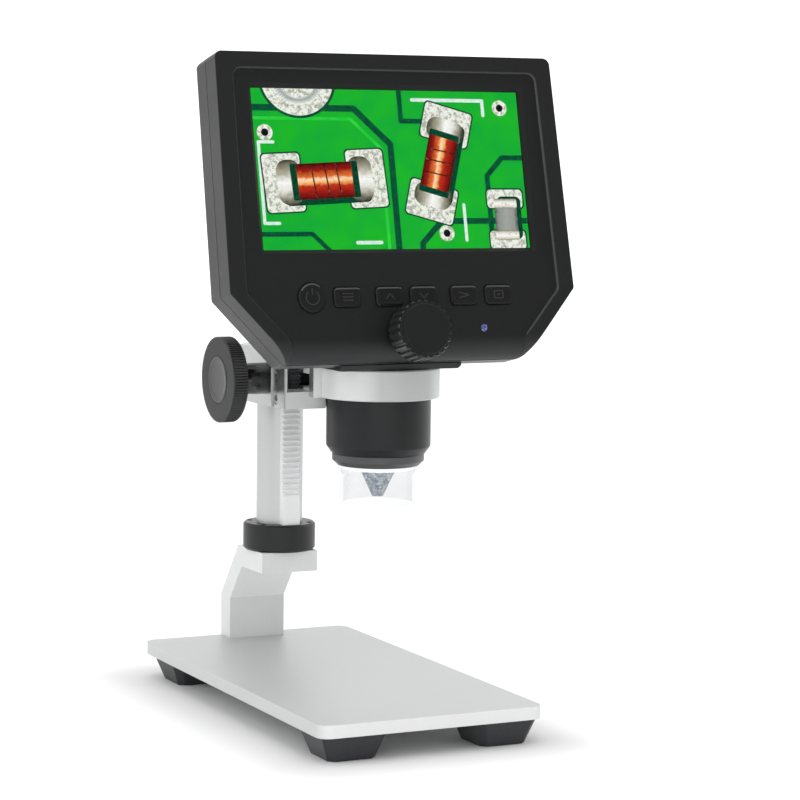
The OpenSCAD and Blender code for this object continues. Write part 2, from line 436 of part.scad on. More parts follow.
// ---------- right side ----------
dim_u = 57.3;
dim_v = -26.1;
module dimmer_pot() color(dark) at_screen() { bx(dim_u - 3.8, dim_u + 1.4, 8.2, 9.3, dim_v - 3.8, dim_v + 3.8); deep_rod(dim_u, dim_v, 1.2, 9.2, 11.8); }
module dimmer_wheel() color(black) at_screen() translate([dim_u, 11.9, dim_v]) rotate([90, 0, 0]) difference() {
  linear_extrude(2) polygon([for (i = [0:31]) (i % 2 == 0 ? 5.8 : 5.5)*[cos(i*11.25), sin(i*11.25)]]);
  rod(1.25, -1, 3);
}
module usb_socket() color(steel) at_screen() difference() { bx(53.1, 61.1, 8.2, 11.9, 6, 14.2); bx(54.7, 62, 8.8, 11.3, 6.5, 13.7); bx(53, 62, 8, 8.75, 4, 7); }
module card_socket() color(steel) at_screen() difference() { bx(49, 60.9, 8.2, 11.1, -19.4, -7.6); bx(50, 62, 9.2, 10.4, -18.9, -8.1); }

base_plate();
base_feet();
foot_screws();
support_bracket();
bracket_screws();
column();
rack();
rack_screws();
column_collar();
column_bolt();
carriage_block();
clamp_ring();
ring_screws();
side_screws();
friction_pads();
tension_screws();
ring_grub_screw();
shaft_bush();
pinion_shaft();
pinion_gear();
side_knob();
knob_cap();
knob_grub_screw();
at_screen() front_bezel();
rear_cover();
cover_screws();
screen_window();
lcd_panel();
main_board();
battery();
button_board();
key_switches();
power_button();
button_2();
button_3();
button_4();
button_5();
button_6();
indicator_lens();
focus_knob();
focus_shaft();
focus_gear();
focus_bracket();
lens_carrier();
objective_lens();
sensor_board();
neck_flange();
neck_screws();
barrel();
barrel_tip();
led_board();
leds();
nose_cone();
clear_shroud();
dimmer_pot();
dimmer_wheel();
usb_socket();
card_socket();
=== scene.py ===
import json
import math

import bmesh
import bpy
import numpy as np
from mathutils import Matrix, Vector
from mathutils.geometry import delaunay_2d_cdt
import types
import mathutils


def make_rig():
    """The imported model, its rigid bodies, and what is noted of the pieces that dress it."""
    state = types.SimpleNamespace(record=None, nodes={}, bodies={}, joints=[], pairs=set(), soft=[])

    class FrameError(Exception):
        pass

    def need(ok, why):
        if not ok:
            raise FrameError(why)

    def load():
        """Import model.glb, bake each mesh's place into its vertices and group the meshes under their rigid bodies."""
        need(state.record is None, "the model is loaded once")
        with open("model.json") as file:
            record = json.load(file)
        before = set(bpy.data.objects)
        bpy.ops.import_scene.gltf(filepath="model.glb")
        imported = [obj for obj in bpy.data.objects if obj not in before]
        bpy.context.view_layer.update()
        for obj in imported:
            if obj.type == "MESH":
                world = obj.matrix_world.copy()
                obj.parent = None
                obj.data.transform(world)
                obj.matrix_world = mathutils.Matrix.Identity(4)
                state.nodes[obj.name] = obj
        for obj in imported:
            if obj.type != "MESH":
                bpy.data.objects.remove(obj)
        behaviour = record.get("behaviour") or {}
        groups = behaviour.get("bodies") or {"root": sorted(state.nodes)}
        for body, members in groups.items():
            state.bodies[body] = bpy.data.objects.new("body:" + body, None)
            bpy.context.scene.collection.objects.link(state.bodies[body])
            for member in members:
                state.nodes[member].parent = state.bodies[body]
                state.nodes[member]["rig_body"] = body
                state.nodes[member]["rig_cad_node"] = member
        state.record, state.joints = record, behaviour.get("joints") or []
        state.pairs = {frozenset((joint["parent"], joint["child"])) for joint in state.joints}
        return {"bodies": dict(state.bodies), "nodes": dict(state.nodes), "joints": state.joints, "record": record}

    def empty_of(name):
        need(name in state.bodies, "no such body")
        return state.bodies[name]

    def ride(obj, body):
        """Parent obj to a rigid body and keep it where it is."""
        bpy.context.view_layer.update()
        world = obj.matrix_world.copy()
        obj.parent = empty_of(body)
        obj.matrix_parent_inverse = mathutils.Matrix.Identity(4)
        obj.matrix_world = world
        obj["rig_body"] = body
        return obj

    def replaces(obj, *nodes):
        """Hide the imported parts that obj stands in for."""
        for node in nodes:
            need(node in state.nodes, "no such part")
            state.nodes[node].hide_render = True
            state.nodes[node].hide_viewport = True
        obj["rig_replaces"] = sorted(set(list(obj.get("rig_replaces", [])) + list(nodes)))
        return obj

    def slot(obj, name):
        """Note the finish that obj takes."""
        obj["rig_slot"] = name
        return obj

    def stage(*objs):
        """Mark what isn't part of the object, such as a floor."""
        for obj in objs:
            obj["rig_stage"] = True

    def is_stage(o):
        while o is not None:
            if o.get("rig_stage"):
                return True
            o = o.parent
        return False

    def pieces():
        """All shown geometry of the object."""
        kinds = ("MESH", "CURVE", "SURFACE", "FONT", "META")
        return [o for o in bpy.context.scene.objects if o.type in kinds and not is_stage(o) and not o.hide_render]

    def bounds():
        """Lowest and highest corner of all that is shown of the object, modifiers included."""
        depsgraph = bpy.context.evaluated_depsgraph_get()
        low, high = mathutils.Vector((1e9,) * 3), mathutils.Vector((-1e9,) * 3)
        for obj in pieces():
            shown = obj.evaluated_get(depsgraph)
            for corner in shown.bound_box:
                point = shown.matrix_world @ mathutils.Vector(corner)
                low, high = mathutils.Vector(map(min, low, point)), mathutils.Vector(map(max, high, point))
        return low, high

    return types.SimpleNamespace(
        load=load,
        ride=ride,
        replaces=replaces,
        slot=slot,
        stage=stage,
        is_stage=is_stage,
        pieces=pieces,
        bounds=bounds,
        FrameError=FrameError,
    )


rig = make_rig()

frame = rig.load()
NODES = frame["nodes"]
BODY_OF = {n: b for b, ns in frame["record"]["behaviour"]["bodies"].items() for n in ns}
_lo, _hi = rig.bounds()
CAD_BOX = [[float(c) for c in _lo], [float(c) for c in _hi]]
MM = 0.001

# ------------------------------------------------------------------ frames, in mm
CX, CY = 0.8, 47.5                 # column axis
HX, HY = 21.6, 12.7                # barrel axis
TILT, YAW = math.radians(13.1), 0.0
PY, PZ = 33.4, 94.9                # height knob's axis
IDENT = Matrix.Identity(4)
HEAD = Matrix.Translation((HX, HY, 0)) @ Matrix.Rotation(-YAW, 4, "Z")
SCREEN = HEAD @ Matrix.Translation((-0.88, -10.71, 165.87)) @ Matrix.Rotation(-TILT, 4, "X")
COL = Matrix.Translation((CX, CY, 0))
# local z runs along +X through the height knob's axis
KNOBX = Matrix.Translation((0, PY, PZ)) @ Matrix.Rotation(math.pi / 2, 4, "Y")
# local z runs into the housing (depth), local x is u, local y is minus v
DEPTH = SCREEN @ Matrix.Rotation(-math.pi / 2, 4, "X")


# ------------------------------------------------------------------ materials
class G:
    """Small helper round one material's node tree."""

    def __init__(self, name):
        self.m = bpy.data.materials.new(name)
        self.m.use_nodes = True
        self.t = self.m.node_tree
        self.t.nodes.clear()
        self.out = self.t.nodes.new("ShaderNodeOutputMaterial")
        self.co = None

    def n(self, kind, **kw):
        x = self.t.nodes.new(kind)
        for k, v in kw.items():
            if k.startswith("_"):
                setattr(x, k[1:], v)
            else:
                self.put(x.inputs[k.replace("__", " ")], v)
        return x

    def put(self, socket, v):
        if isinstance(v, bpy.types.NodeSocket):
            self.t.links.new(v, socket)
        else:
            socket.default_value = v

    def coord(self, scale=(1, 1, 1), rot=(0, 0, 0), which="Object"):
        c = self.n("ShaderNodeTexCoord").outputs[which]
        mp = self.n("ShaderNodeMapping")
        self.put(mp.inputs["Vector"], c)
        mp.inputs["Scale"].default_value = scale
        mp.inputs["Rotation"].default_value = rot
        return mp.outputs[0]

    def noise(self, size_mm, detail=2.0, rough=0.5, stretch=(1, 1, 1), rot=(0, 0, 0), dist=0.0):
        s = 1.0 / (size_mm * MM)
        x = self.n("ShaderNodeTexNoise", Scale=1.0, Detail=detail, Roughness=rough, Distortion=dist)
        self.put(x.inputs["Vector"], self.coord((s / stretch[0], s / stretch[1], s / stretch[2]), rot))
        return x.outputs["Fac"]

    def math(self, op, a, b=None, c=None, clamp=False):
        x = self.n("ShaderNodeMath", _operation=op, _use_clamp=clamp)
        self.put(x.inputs[0], a)
        if b is not None:
            self.put(x.inputs[1], b)
        if c is not None:
            self.put(x.inputs[2], c)
        return x.outputs[0]

    def rng(self, v, a, b, c, d, smooth=False):
        x = self.n("ShaderNodeMapRange", _clamp=True)
        if smooth:
            x.interpolation_type = "SMOOTHSTEP"
        for k, val in zip(("Value", "From Min", "From Max", "To Min", "To Max"), (v, a, b, c, d)):
            self.put(x.inputs[k], val)
        return x.outputs[0]

    def mix(self, f, a, b, blend="MIX"):
        x = self.n("ShaderNodeMix", _data_type="RGBA", _blend_type=blend)
        self.put(x.inputs[0], f)
        self.put(x.inputs[6], a)
        self.put(x.inputs[7], b)
        return x.outputs[2]

    def bump(self, height, dist_mm, strength=1.0, normal=None):
        x = self.n("ShaderNodeBump", Strength=strength, Distance=dist_mm * MM, Height=height)
        if normal is not None:
            self.put(x.inputs["Normal"], normal)
        return x.outputs[0]

    def end(self, shader):
        self.t.links.new(shader, self.out.inputs["Surface"])
        return self.m


def rgb(*c):
    return (c[0], c[1], c[2], 1.0)


def bsdf(g, color, rough, metal=0.0, normal=None, spec=0.5, coat=0.0, coat_rough=0.1, ior=1.5):
    p = g.n("ShaderNodeBsdfPrincipled")
    g.put(p.inputs["Base Color"], color)
    g.put(p.inputs["Roughness"], rough)
    p.inputs["Metallic"].default_value = metal
    p.inputs["Specular IOR Level"].default_value = spec
    p.inputs["Coat Weight"].default_value = coat
    p.inputs["Coat Roughness"].default_value = coat_rough
    p.inputs["IOR"].default_value = ior
    if normal is not None:
        g.put(p.inputs["Normal"], normal)
    return p


def mat_alu(name, base=(0.80, 0.81, 0.82), rough=0.36, grain=0.14, bump=0.006, stretch=(1, 1, 1), streak=0.0, sdir=(1, 1, 1), edge=1.0, metal=1.0, painted_light_ramp=None):
    """Blasted or turned aluminium: fine grain, faint cloudy stain, small handling marks, and an optional ramp along one
    axis that paints light and shade into the colour.
    """
    g = G(name)
    fine = g.noise(grain, 3.0, 0.6, stretch)
    cloud = g.noise(14.0, 3.0, 0.55)
    c = g.mix(g.rng(cloud, 0.3, 0.7, 0.0, 1.0), rgb(*[x * 0.965 for x in base]), rgb(*base))
    c = g.mix(g.rng(fine, 0.3, 0.7, 0.0, 0.16), c, rgb(*[x * 0.78 for x in base]))
    r = g.math("ADD", g.rng(cloud, 0.3, 0.7, rough - 0.03, rough + 0.04), g.rng(fine, 0.3, 0.7, -0.03, 0.03))
    h = fine
    if streak:
        lines = g.noise(0.12, 2.0, 0.6, sdir)
        h = g.math("MULTIPLY_ADD", lines, streak, fine)
        c = g.mix(g.rng(lines, 0.35, 0.65, 0.0, 0.10), c, rgb(*[x * 0.8 for x in base]))
    # painted light and shade: a brightness ramp along one object axis, multiplied into the colour
    if painted_light_ramp:
        axis, stops = painted_light_ramp
        sp = g.n("ShaderNodeSeparateXYZ")
        g.put(sp.inputs[0], g.n("ShaderNodeTexCoord").outputs["Object"])
        lo_, hi_ = stops[0][0], stops[-1][0]
        ramp = g.n("ShaderNodeValToRGB")
        g.put(ramp.inputs[0], g.rng(sp.outputs[axis], lo_ * MM, hi_ * MM, 0.0, 1.0))
        el = ramp.color_ramp.elements
        while len(el) < len(stops):
            el.new(0.5)
        for e_, (x_, k_) in zip(el, stops):
            e_.position = (x_ - lo_) / (hi_ - lo_)
            e_.color = rgb(k_, k_, k_)
        c = g.mix(1.0, c, ramp.outputs[0], "MULTIPLY")
    nrm = g.bump(h, bump, 0.6)
    p = bsdf(g, c, r, metal, nrm)
    p.inputs["Specular Tint"].default_value = rgb(edge, edge, edge)
    return g.end(p.outputs[0])


def mat_plastic(name, base, rough=0.5, grain=0.35, bump=0.02, spec=0.5, dust=0.0, coat=0.0, cell=True, lift=1.5, low=None):
    """Moulded plastic with a spark-eroded skin, faint gloss changes and a little dust."""
    g = G(name)
    a = g.noise(grain, 3.0, 0.65)
    big = g.noise(22.0, 3.0, 0.5)
    h = a
    if cell:
        v = g.n("ShaderNodeTexVoronoi", _feature="SMOOTH_F1", Scale=1.0, Smoothness=0.6)
        s = 1.0 / (grain * 1.7 * MM)
        g.put(v.inputs["Vector"], g.coord((s, s, s)))
        h = g.math("MULTIPLY_ADD", v.outputs["Distance"], 0.8, a)
    c = g.mix(g.rng(a, 0.35, 0.7, 0.0, 1.0), rgb(*base), rgb(*[x * lift for x in base]))
    if dust:
        d = g.noise(0.5, 5.0, 0.75)
        c = g.mix(g.rng(d, 0.66, 0.78, 0.0, dust), c, rgb(0.25, 0.25, 0.24))
    if low:                              # paler towards the bottom: a painted reflection of the floor on the lower edge
        sp = g.n("ShaderNodeSeparateXYZ")
        g.put(sp.inputs[0], g.n("ShaderNodeTexCoord").outputs["Object"])
        c = g.mix(g.rng(sp.outputs["Z"], low[0] * MM, low[1] * MM, 1.0, 0.0, True), c, rgb(*low[2]))
    r = g.math("ADD", g.rng(big, 0.3, 0.7, rough - 0.03, rough + 0.04), g.rng(a, 0.3, 0.7, -0.04, 0.05))
    return g.end(bsdf(g, c, r, 0.0, g.bump(h, bump, 0.7), spec, coat).outputs[0])


def mat_emit(name, color, strength=1.0, second=None, size=1.5, lo=0.4, hi=0.6, detail=4.0, stretch=(1, 1, 1), rot=(0, 0, 0), third=None, size3=0.4, lo3=0.62, hi3=0.72):
    g = G(name)
    c = rgb(*color)
    if second is not None:
        c = g.mix(g.rng(g.noise(size, detail, 0.6, stretch, rot), lo, hi, 0.0, 1.0), c, rgb(*second))
    if third is not None:
        c = g.mix(g.rng(g.noise(size3, 4.0, 0.7), lo3, hi3, 0.0, 1.0), c, rgb(*third))
    e = g.n("ShaderNodeEmission", Strength=strength)
    g.put(e.inputs["Color"], c)
    return g.end(e.outputs[0])


ALU_PLATE = mat_alu("satin_aluminium_plate", (0.645, 0.663, 0.655), 0.46, 0.16, 0.008, edge=0.72, metal=0.6)
# plate sides; the ramp along Y is a painted highlight that makes the front face and the front corners brighter than the
# sides
ALU_RIM = mat_alu("plate_edge_aluminium_painted_highlight", (0.90, 0.91, 0.90), 0.44, 0.16, 0.008, edge=0.8, metal=0.4, painted_light_ramp=("Y", [(-74.5, 0.97), (-73.6, 0.86), (-71.5, 0.74), (0.0, 0.73)]))
ALU_BAR = mat_alu("satin_aluminium_bar", (0.79, 0.81, 0.80), 0.42, 0.16, 0.006, streak=0.8, sdir=(6, 60, 60), edge=0.8, metal=0.25)
# a lighter, nearly non-metallic copy of the bracket aluminium for faces that look forward and down: painted bounce
# light from the floor and plate
ALU_SLANT_PAINTED_BOUNCE = mat_alu("satin_aluminium_bend_painted_bounce", (0.99, 1.0, 0.99), 0.42, 0.16, 0.006, streak=0.8, sdir=(6, 60, 60), edge=0.8, metal=0.1)
ALU_TURN = mat_alu("turned_aluminium", (0.60, 0.615, 0.615), 0.34, 0.1, 0.004, streak=1.0, sdir=(80, 80, 1), edge=0.8, metal=0.6)
ALU_RACK = mat_alu("milled_aluminium", (0.9, 0.91, 0.91), 0.4, 0.1, 0.004, streak=0.4, sdir=(1, 1, 20), edge=0.8, metal=0.0)
ALU_BLOCK = mat_alu("anodised_aluminium_block", (0.68, 0.70, 0.695), 0.38, 0.14, 0.005, streak=0.4, sdir=(40, 40, 1), edge=0.8, metal=0.2)
# the ramp along X is painted light: the ring is brighter at its left and right sides and darker across the front
ALU_RING = mat_alu("anodised_aluminium_ring_painted_light", (0.80, 0.82, 0.815), 0.38, 0.14, 0.005, streak=0.4, sdir=(40, 40, 1), edge=0.8, metal=0.2, painted_light_ramp=("X", [(2.0, 1.0), (8.0, 0.95), (13.5, 0.66), (31.0, 0.64), (36.0, 0.86), (42.0, 0.86)]))
# a lighter, non-metallic copy of the block aluminium for the steps inside the pinion pocket: painted light where the
# pocket is in shade
ALU_STEP_PAINTED_LIGHT = mat_alu("pocket_step", (0.93, 0.94, 0.94), 0.4, 0.1, 0.003, edge=0.8, metal=0.0)
# a darker copy of the block aluminium for the front-left of the left cheek: painted shade
ALU_DIM_PAINTED_SHADE = mat_alu("cheek_edge_painted_shade", (0.34, 0.35, 0.35), 0.4, 0.1, 0.003, edge=0.8, metal=0.3)
ALU_CHEEK = mat_alu("milled_cheek", (0.62, 0.63, 0.63), 0.26, 0.1, 0.003, streak=0.5, sdir=(1, 60, 1), edge=0.8, metal=0.88)
STEEL = mat_alu("zinc_steel", (0.55, 0.54, 0.5), 0.3, 0.1, 0.006)
# housing, rim and face take the painted floor reflection: paler towards the bottom of the housing
HOUSING = mat_plastic("black_housing", (0.0162, 0.0169, 0.0174), 0.42, 0.42, 0.018, 0.6, 0.05, low=(103.2, 112.0, (0.033, 0.0345, 0.0355)))
RIMM = mat_plastic("black_rim", (0.0055, 0.0058, 0.0061), 0.5, 0.42, 0.018, 0.29, 0.05, low=(103.2, 112.0, (0.033, 0.0345, 0.0355)))
# a lighter copy of the black plastic for the step between rim and panel: painted highlight along the step
STEP_PAINTED_HIGHLIGHT = mat_plastic("black_step_painted_highlight", (0.038, 0.039, 0.04), 0.4, 0.42, 0.01, 0.55, 0.04)
NECKM = mat_plastic("black_neck_plate", (0.015, 0.0155, 0.016), 0.42, 0.42, 0.014, 0.5, 0.04)
# a lighter copy of the key plastic for the keys' top edges: painted highlight
KEY_TOP_PAINTED_HIGHLIGHT = mat_plastic("key_top_painted_highlight", (0.045, 0.046, 0.047), 0.4, 0.3, 0.006, 0.5, 0.03)
FACEM = mat_plastic("black_face", (0.0052, 0.0056, 0.006), 0.52, 0.5, 0.018, 0.25, 0.05, low=(103.2, 112.0, (0.033, 0.0345, 0.0355)))
KEYS = mat_plastic("black_keys", (0.0042, 0.0045, 0.0048), 0.5, 0.35, 0.012, 0.2, 0.04)
# a lighter copy of the key plastic for the lower side walls: painted light in the groove round each key
KEY_SIDE_PAINTED_LIGHT = mat_plastic("key_side_painted_light", (0.02, 0.0205, 0.021), 0.45, 0.3, 0.006, 0.3, 0.03)
KNOB = mat_plastic("black_knob", (0.0115, 0.012, 0.0125), 0.36, 0.3, 0.012, 0.54, 0.06)
FKNOB = mat_plastic("black_focus_knob", (0.019, 0.0195, 0.0205), 0.34, 0.3, 0.01, 0.72, 0.05)
KDISC = mat_plastic("black_knob_disc", (0.005, 0.0054, 0.0058), 0.52, 0.5, 0.014, 0.24, 0.05)
KFACE = mat_plastic("black_knob_face", (0.0088, 0.0092, 0.0096), 0.46, 0.3, 0.012, 0.42, 0.06)
CAPM = mat_plastic("black_knob_cap", (0.014, 0.0145, 0.015), 0.3, 0.25, 0.006, 0.6, 0.04)
# a lighter copy of the feet rubber for their left-facing sides: painted light from the left
RUBBER_LIT_SIDE = mat_plastic("black_rubber_painted_lit_side", (0.046, 0.048, 0.05), 0.5, 0.5, 0.02, 0.45, 0.1)
PINION = mat_plastic("blackened_steel_teeth", (0.085, 0.088, 0.094), 0.4, 0.2, 0.004, 0.6, 0.03, cell=False)
RUBBER = mat_plastic("black_rubber", (0.026, 0.027, 0.029), 0.55, 0.5, 0.02, 0.4, 0.1)
ANOD = mat_plastic("black_anodised", (0.0056, 0.0062, 0.0072), 0.34, 0.12, 0.003, 0.34, 0.03, cell=False)
ANOD_C = mat_plastic("black_anodised_collar", (0.006, 0.0066, 0.0075), 0.36, 0.12, 0.003, 0.42, 0.03, cell=False)
ANOD_T = mat_plastic("black_anodised_tip", (0.028, 0.0297, 0.032), 0.38, 0.12, 0.003, 0.85, 0.03, cell=False)
GLOSS = mat_plastic("gloss_black", (0.006, 0.0062, 0.007), 0.07, 0.8, 0.002, 0.6, 0.02, cell=False)
BOARD = mat_plastic("green_board", (0.01, 0.10, 0.03), 0.35, 0.6, 0.01, 0.5)
WHITE = mat_plastic("white_board", (0.75, 0.75, 0.72), 0.4, 0.5, 0.005, 0.5, lift=1.05)
NYLON = mat_plastic("nylon", (0.62, 0.6, 0.55), 0.45, 0.5, 0.006, 0.5, lift=1.05)
FOIL = mat_alu("cell_foil", (0.6, 0.6, 0.62), 0.35, 0.4, 0.01)


def mat_cone():
    """Dull metal cone with a speckled, worn skin."""
    g = G("speckled_cone")
    n = g.noise(1.5, 6.0, 0.85)
    m = g.noise(0.9, 4.0, 0.8)
    c = g.mix(g.rng(n, 0.45, 0.56, 0.0, 1.0), rgb(0.12, 0.155, 0.195), rgb(0.42, 0.47, 0.51))
    c = g.mix(g.rng(m, 0.58, 0.64, 0.0, 1.0), c, rgb(0.92, 0.95, 0.96))
    return g.end(bsdf(g, c, g.rng(n, 0.3, 0.7, 0.3, 0.5), 0.0, g.bump(m, 0.02, 0.6), 0.6).outputs[0])


CONE = mat_cone()
# the reflector round the lamp glows: painted light from the LEDs
REFLECTOR_PAINTED_GLOW = mat_emit("lamp_reflector_painted_glow", (0.96, 0.97, 0.97), 1.3, (0.88, 0.9, 0.9), 1.5)


def mat_mark():
    g = G("grey_print")
    n = g.noise(0.25, 3.0, 0.6)
    c = g.mix(g.rng(n, 0.35, 0.65, 0.0, 1.0), rgb(0.012, 0.012, 0.0125), rgb(0.024, 0.024, 0.024))
    return g.end(bsdf(g, c, 0.55).outputs[0])


MARK = mat_mark()


def mat_clear():
    """Clear shroud plastic: mostly lets light through, with gloss and a faint milky body."""
    g = G("clear_plastic")
    n = g.noise(6.0, 3.0, 0.5)
    tr = g.n("ShaderNodeBsdfTransparent")
    g.put(tr.inputs["Color"], g.mix(g.rng(n, 0.3, 0.7, 0.0, 1.0), rgb(0.94, 0.942, 0.944), rgb(0.95, 0.951, 0.953)))
    df = g.n("ShaderNodeBsdfTranslucent")
    df.inputs["Color"].default_value = rgb(0.92, 0.94, 0.96)
    d2 = g.n("ShaderNodeBsdfDiffuse")
    d2.inputs["Color"].default_value = rgb(0.93, 0.94, 0.95)
    gl = g.n("ShaderNodeBsdfGlossy")
    gl.inputs["Roughness"].default_value = 0.08
    g.put(gl.inputs["Normal"], g.bump(n, 0.02, 0.3))
    body = g.n("ShaderNodeMixShader")
    body.inputs[0].default_value = 0.5
    g.t.links.new(df.outputs[0], body.inputs[1])
    g.t.links.new(d2.outputs[0], body.inputs[2])
    m1 = g.n("ShaderNodeMixShader")
    lw = g.n("ShaderNodeLayerWeight")
    lw.inputs["Blend"].default_value = 0.35
    g.put(m1.inputs[0], g.rng(lw.outputs["Facing"], 0.3, 1.0, 0.045, 0.06))
    g.t.links.new(tr.outputs[0], m1.inputs[1])
    g.t.links.new(body.outputs[0], m1.inputs[2])
    m2 = g.n("ShaderNodeMixShader")
    fr = g.n("ShaderNodeFresnel", IOR=1.3)
    g.put(m2.inputs[0], g.math("MULTIPLY", fr.outputs[0], 0.08))
    g.t.links.new(m1.outputs[0], m2.inputs[1])
    g.t.links.new(gl.outputs[0], m2.inputs[2])
    return g.end(m2.outputs[0])


CLEAR = mat_clear()


def mat_window():
    g = G("screen_glass")
    n = g.noise(9.0, 3.0, 0.5)
    tr = g.n("ShaderNodeBsdfTransparent")
    gl = g.n("ShaderNodeBsdfGlossy")
    g.put(gl.inputs["Roughness"], g.rng(n, 0.3, 0.7, 0.05, 0.09))
    m = g.n("ShaderNodeMixShader")
    fr = g.n("ShaderNodeFresnel", IOR=1.35)
    g.put(m.inputs[0], g.math("MULTIPLY", fr.outputs[0], 0.6))
    g.t.links.new(tr.outputs[0], m.inputs[1])
    g.t.links.new(gl.outputs[0], m.inputs[2])
    return g.end(m.outputs[0])


WINDOW = mat_window()
LAMP = mat_emit("lamp_face", (1.0, 0.99, 0.96), 9.0, (0.9, 0.93, 1.0), 0.8)


def mat_led():
    g = G("indicator_glow")
    v = g.n("ShaderNodeTexVoronoi", Scale=1.0)
    g.put(v.inputs["Vector"], g.coord((1 / 0.00105,) * 3))
    c = g.mix(g.rng(v.outputs["Distance"], 0.12, 0.5, 1.0, 0.0), rgb(0.035, 0.035, 0.13), rgb(0.62, 0.62, 0.98))
    p = bsdf(g, rgb(0.05, 0.05, 0.2), 0.2)
    g.put(p.inputs["Emission Color"], c)
    p.inputs["Emission Strength"].default_value = 0.45
    return g.end(p.outputs[0])


LED = mat_led()

# ------------------------------------------------------------------ mesh helpers


def finish_mesh(name, bm, mats, body, nodes=(), sharp=40.0, weighted=False, slot=None):
    bmesh.ops.recalc_face_normals(bm, faces=bm.faces)
    lim = math.radians(sharp)
    for f in bm.faces:
        f.smooth = True
    for e in bm.edges:
        e.smooth = not (len(e.link_faces) == 2 and e.calc_face_angle(0.0) > lim)
    me = bpy.data.meshes.new(name)
    bm.to_mesh(me)
    bm.free()
    ob = bpy.data.objects.new(name, me)
    bpy.context.scene.collection.objects.link(ob)
    for m in mats if isinstance(mats, (list, tuple)) else [mats]:
        me.materials.append(m)
    if weighted:
        w = ob.modifiers.new("wn", "WEIGHTED_NORMAL")
        w.keep_sharp = True
        w.weight = 100
    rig.ride(ob, body)
    if nodes:
        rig.replaces(ob, *nodes)
    if slot:
        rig.slot(ob, slot)
    return ob


def put_verts(bm, pts, frm):
    return [bm.verts.new((frm @ Vector(p)) * MM) for p in pts]


def arc_profile(pts, n=5):
    """Rounds the corners of an open profile. pts: (r, z, fillet)."""
    out = []
    for i, p in enumerate(pts):
        r = p[2] if len(p) > 2 else 0.0
        if i in (0, len(pts) - 1) or r <= 0:
            out.append((p[0], p[1]))
            continue
        a, b, c = (Vector((pts[k][0], pts[k][1])) for k in (i - 1, i, i + 1))
        u, v = (a - b).normalized(), (c - b).normalized()
        cosv = max(-0.9999, min(0.9999, u.dot(v)))
        h = math.acos(cosv) / 2
        d = min(r / math.tan(h), (a - b).length * 0.49, (c - b).length * 0.49)
        rr = d * math.tan(h)
        m = b + (u + v).normalized() * rr / math.sin(h)
        s, e = b + u * d - m, b + v * d - m
        a0, a1 = math.atan2(s.y, s.x), math.atan2(e.y, e.x)
        da = (a1 - a0 + math.pi) % (2 * math.pi) - math.pi
        out += [(m.x + rr * math.cos(a0 + da * k / n), m.y + rr * math.sin(a0 + da * k / n)) for k in range(n + 1)]
    return out


def lathe_bm(bm, pts, frm, segs=128, closed=False, mat=0, n=5, rmod=None):
    """Turns a profile about local z."""
    prof = arc_profile(pts, n)
    rings = []
    for r, z in prof:
        if r < 1e-6:
            rings.append(put_verts(bm, [(0, 0, z)], frm))
        else:
            row = []
            for k in range(segs):
                a = 2 * math.pi * k / segs
                rr = r + (rmod(a, r, z) if rmod else 0.0)
                row.append((rr * math.cos(a), rr * math.sin(a), z))
            rings.append(put_verts(bm, row, frm))
    pairs = list(zip(rings, rings[1:])) + ([(rings[-1], rings[0])] if closed else [])
    for a, b in pairs:
        for k in range(segs):
            q = (k + 1) % segs
            if len(a) == 1 and len(b) == 1:
                continue
            if len(a) == 1:
                f = bm.faces.new((a[0], b[k], b[q]))
            elif len(b) == 1:
                f = bm.faces.new((a[k], b[0], a[q]))
            else:
                f = bm.faces.new((a[k], b[k], b[q], a[q]))
            f.material_index = mat


def lathe(name, pts, frm, mats, body, nodes=(), segs=128, closed=False, sharp=40, **kw):
    bm = bmesh.new()
    lathe_bm(bm, pts, frm, segs, closed, **kw)
    return finish_mesh(name, bm, mats, body, nodes, sharp)


def polish(name, node, width=0.3, segs=2, angle=32.0, mats=None, sharp=38.0, flat=1.2):
    """A copy of a CAD node with its edges broken by a small round."""
    bm = bmesh.new()
    bm.from_mesh(NODES[node].data)
    bmesh.ops.remove_doubles(bm, verts=bm.verts, dist=2e-6)
    bmesh.ops.dissolve_limit(bm, angle_limit=math.radians(flat), verts=bm.verts, edges=bm.edges)
    es = [e for e in bm.edges if len(e.link_faces) == 2 and e.calc_face_angle(0.0) > math.radians(angle)]
    bmesh.ops.bevel(bm, geom=es, offset=width * MM, offset_type="OFFSET", segments=segs, profile=0.5, affect="EDGES", clamp_overlap=True)
    for f in bm.faces:
        f.material_index = 0
    return finish_mesh(name, bm, mats, BODY_OF[node], (node,), sharp, weighted=True)


def unit(v):
    return v / np.linalg.norm(v)


def inset(P, t):
    P = [np.array(p, float) for p in P]
    out = []
    for i in range(len(P)):
        a, b, c = P[i - 1], P[i], P[(i + 1) % len(P)]
        d1, d2 = unit(b - a), unit(c - b)
        n1, n2 = np.array([-d1[1], d1[0]]) * t, np.array([-d2[1], d2[0]]) * t
        p, q = a + n1, b + n2
        w = q - p
        out.append(p + d1 * (w[0] * d2[1] - w[1] * d2[0]) / (d1[0] * d2[1] - d1[1] * d2[0]))
    return out


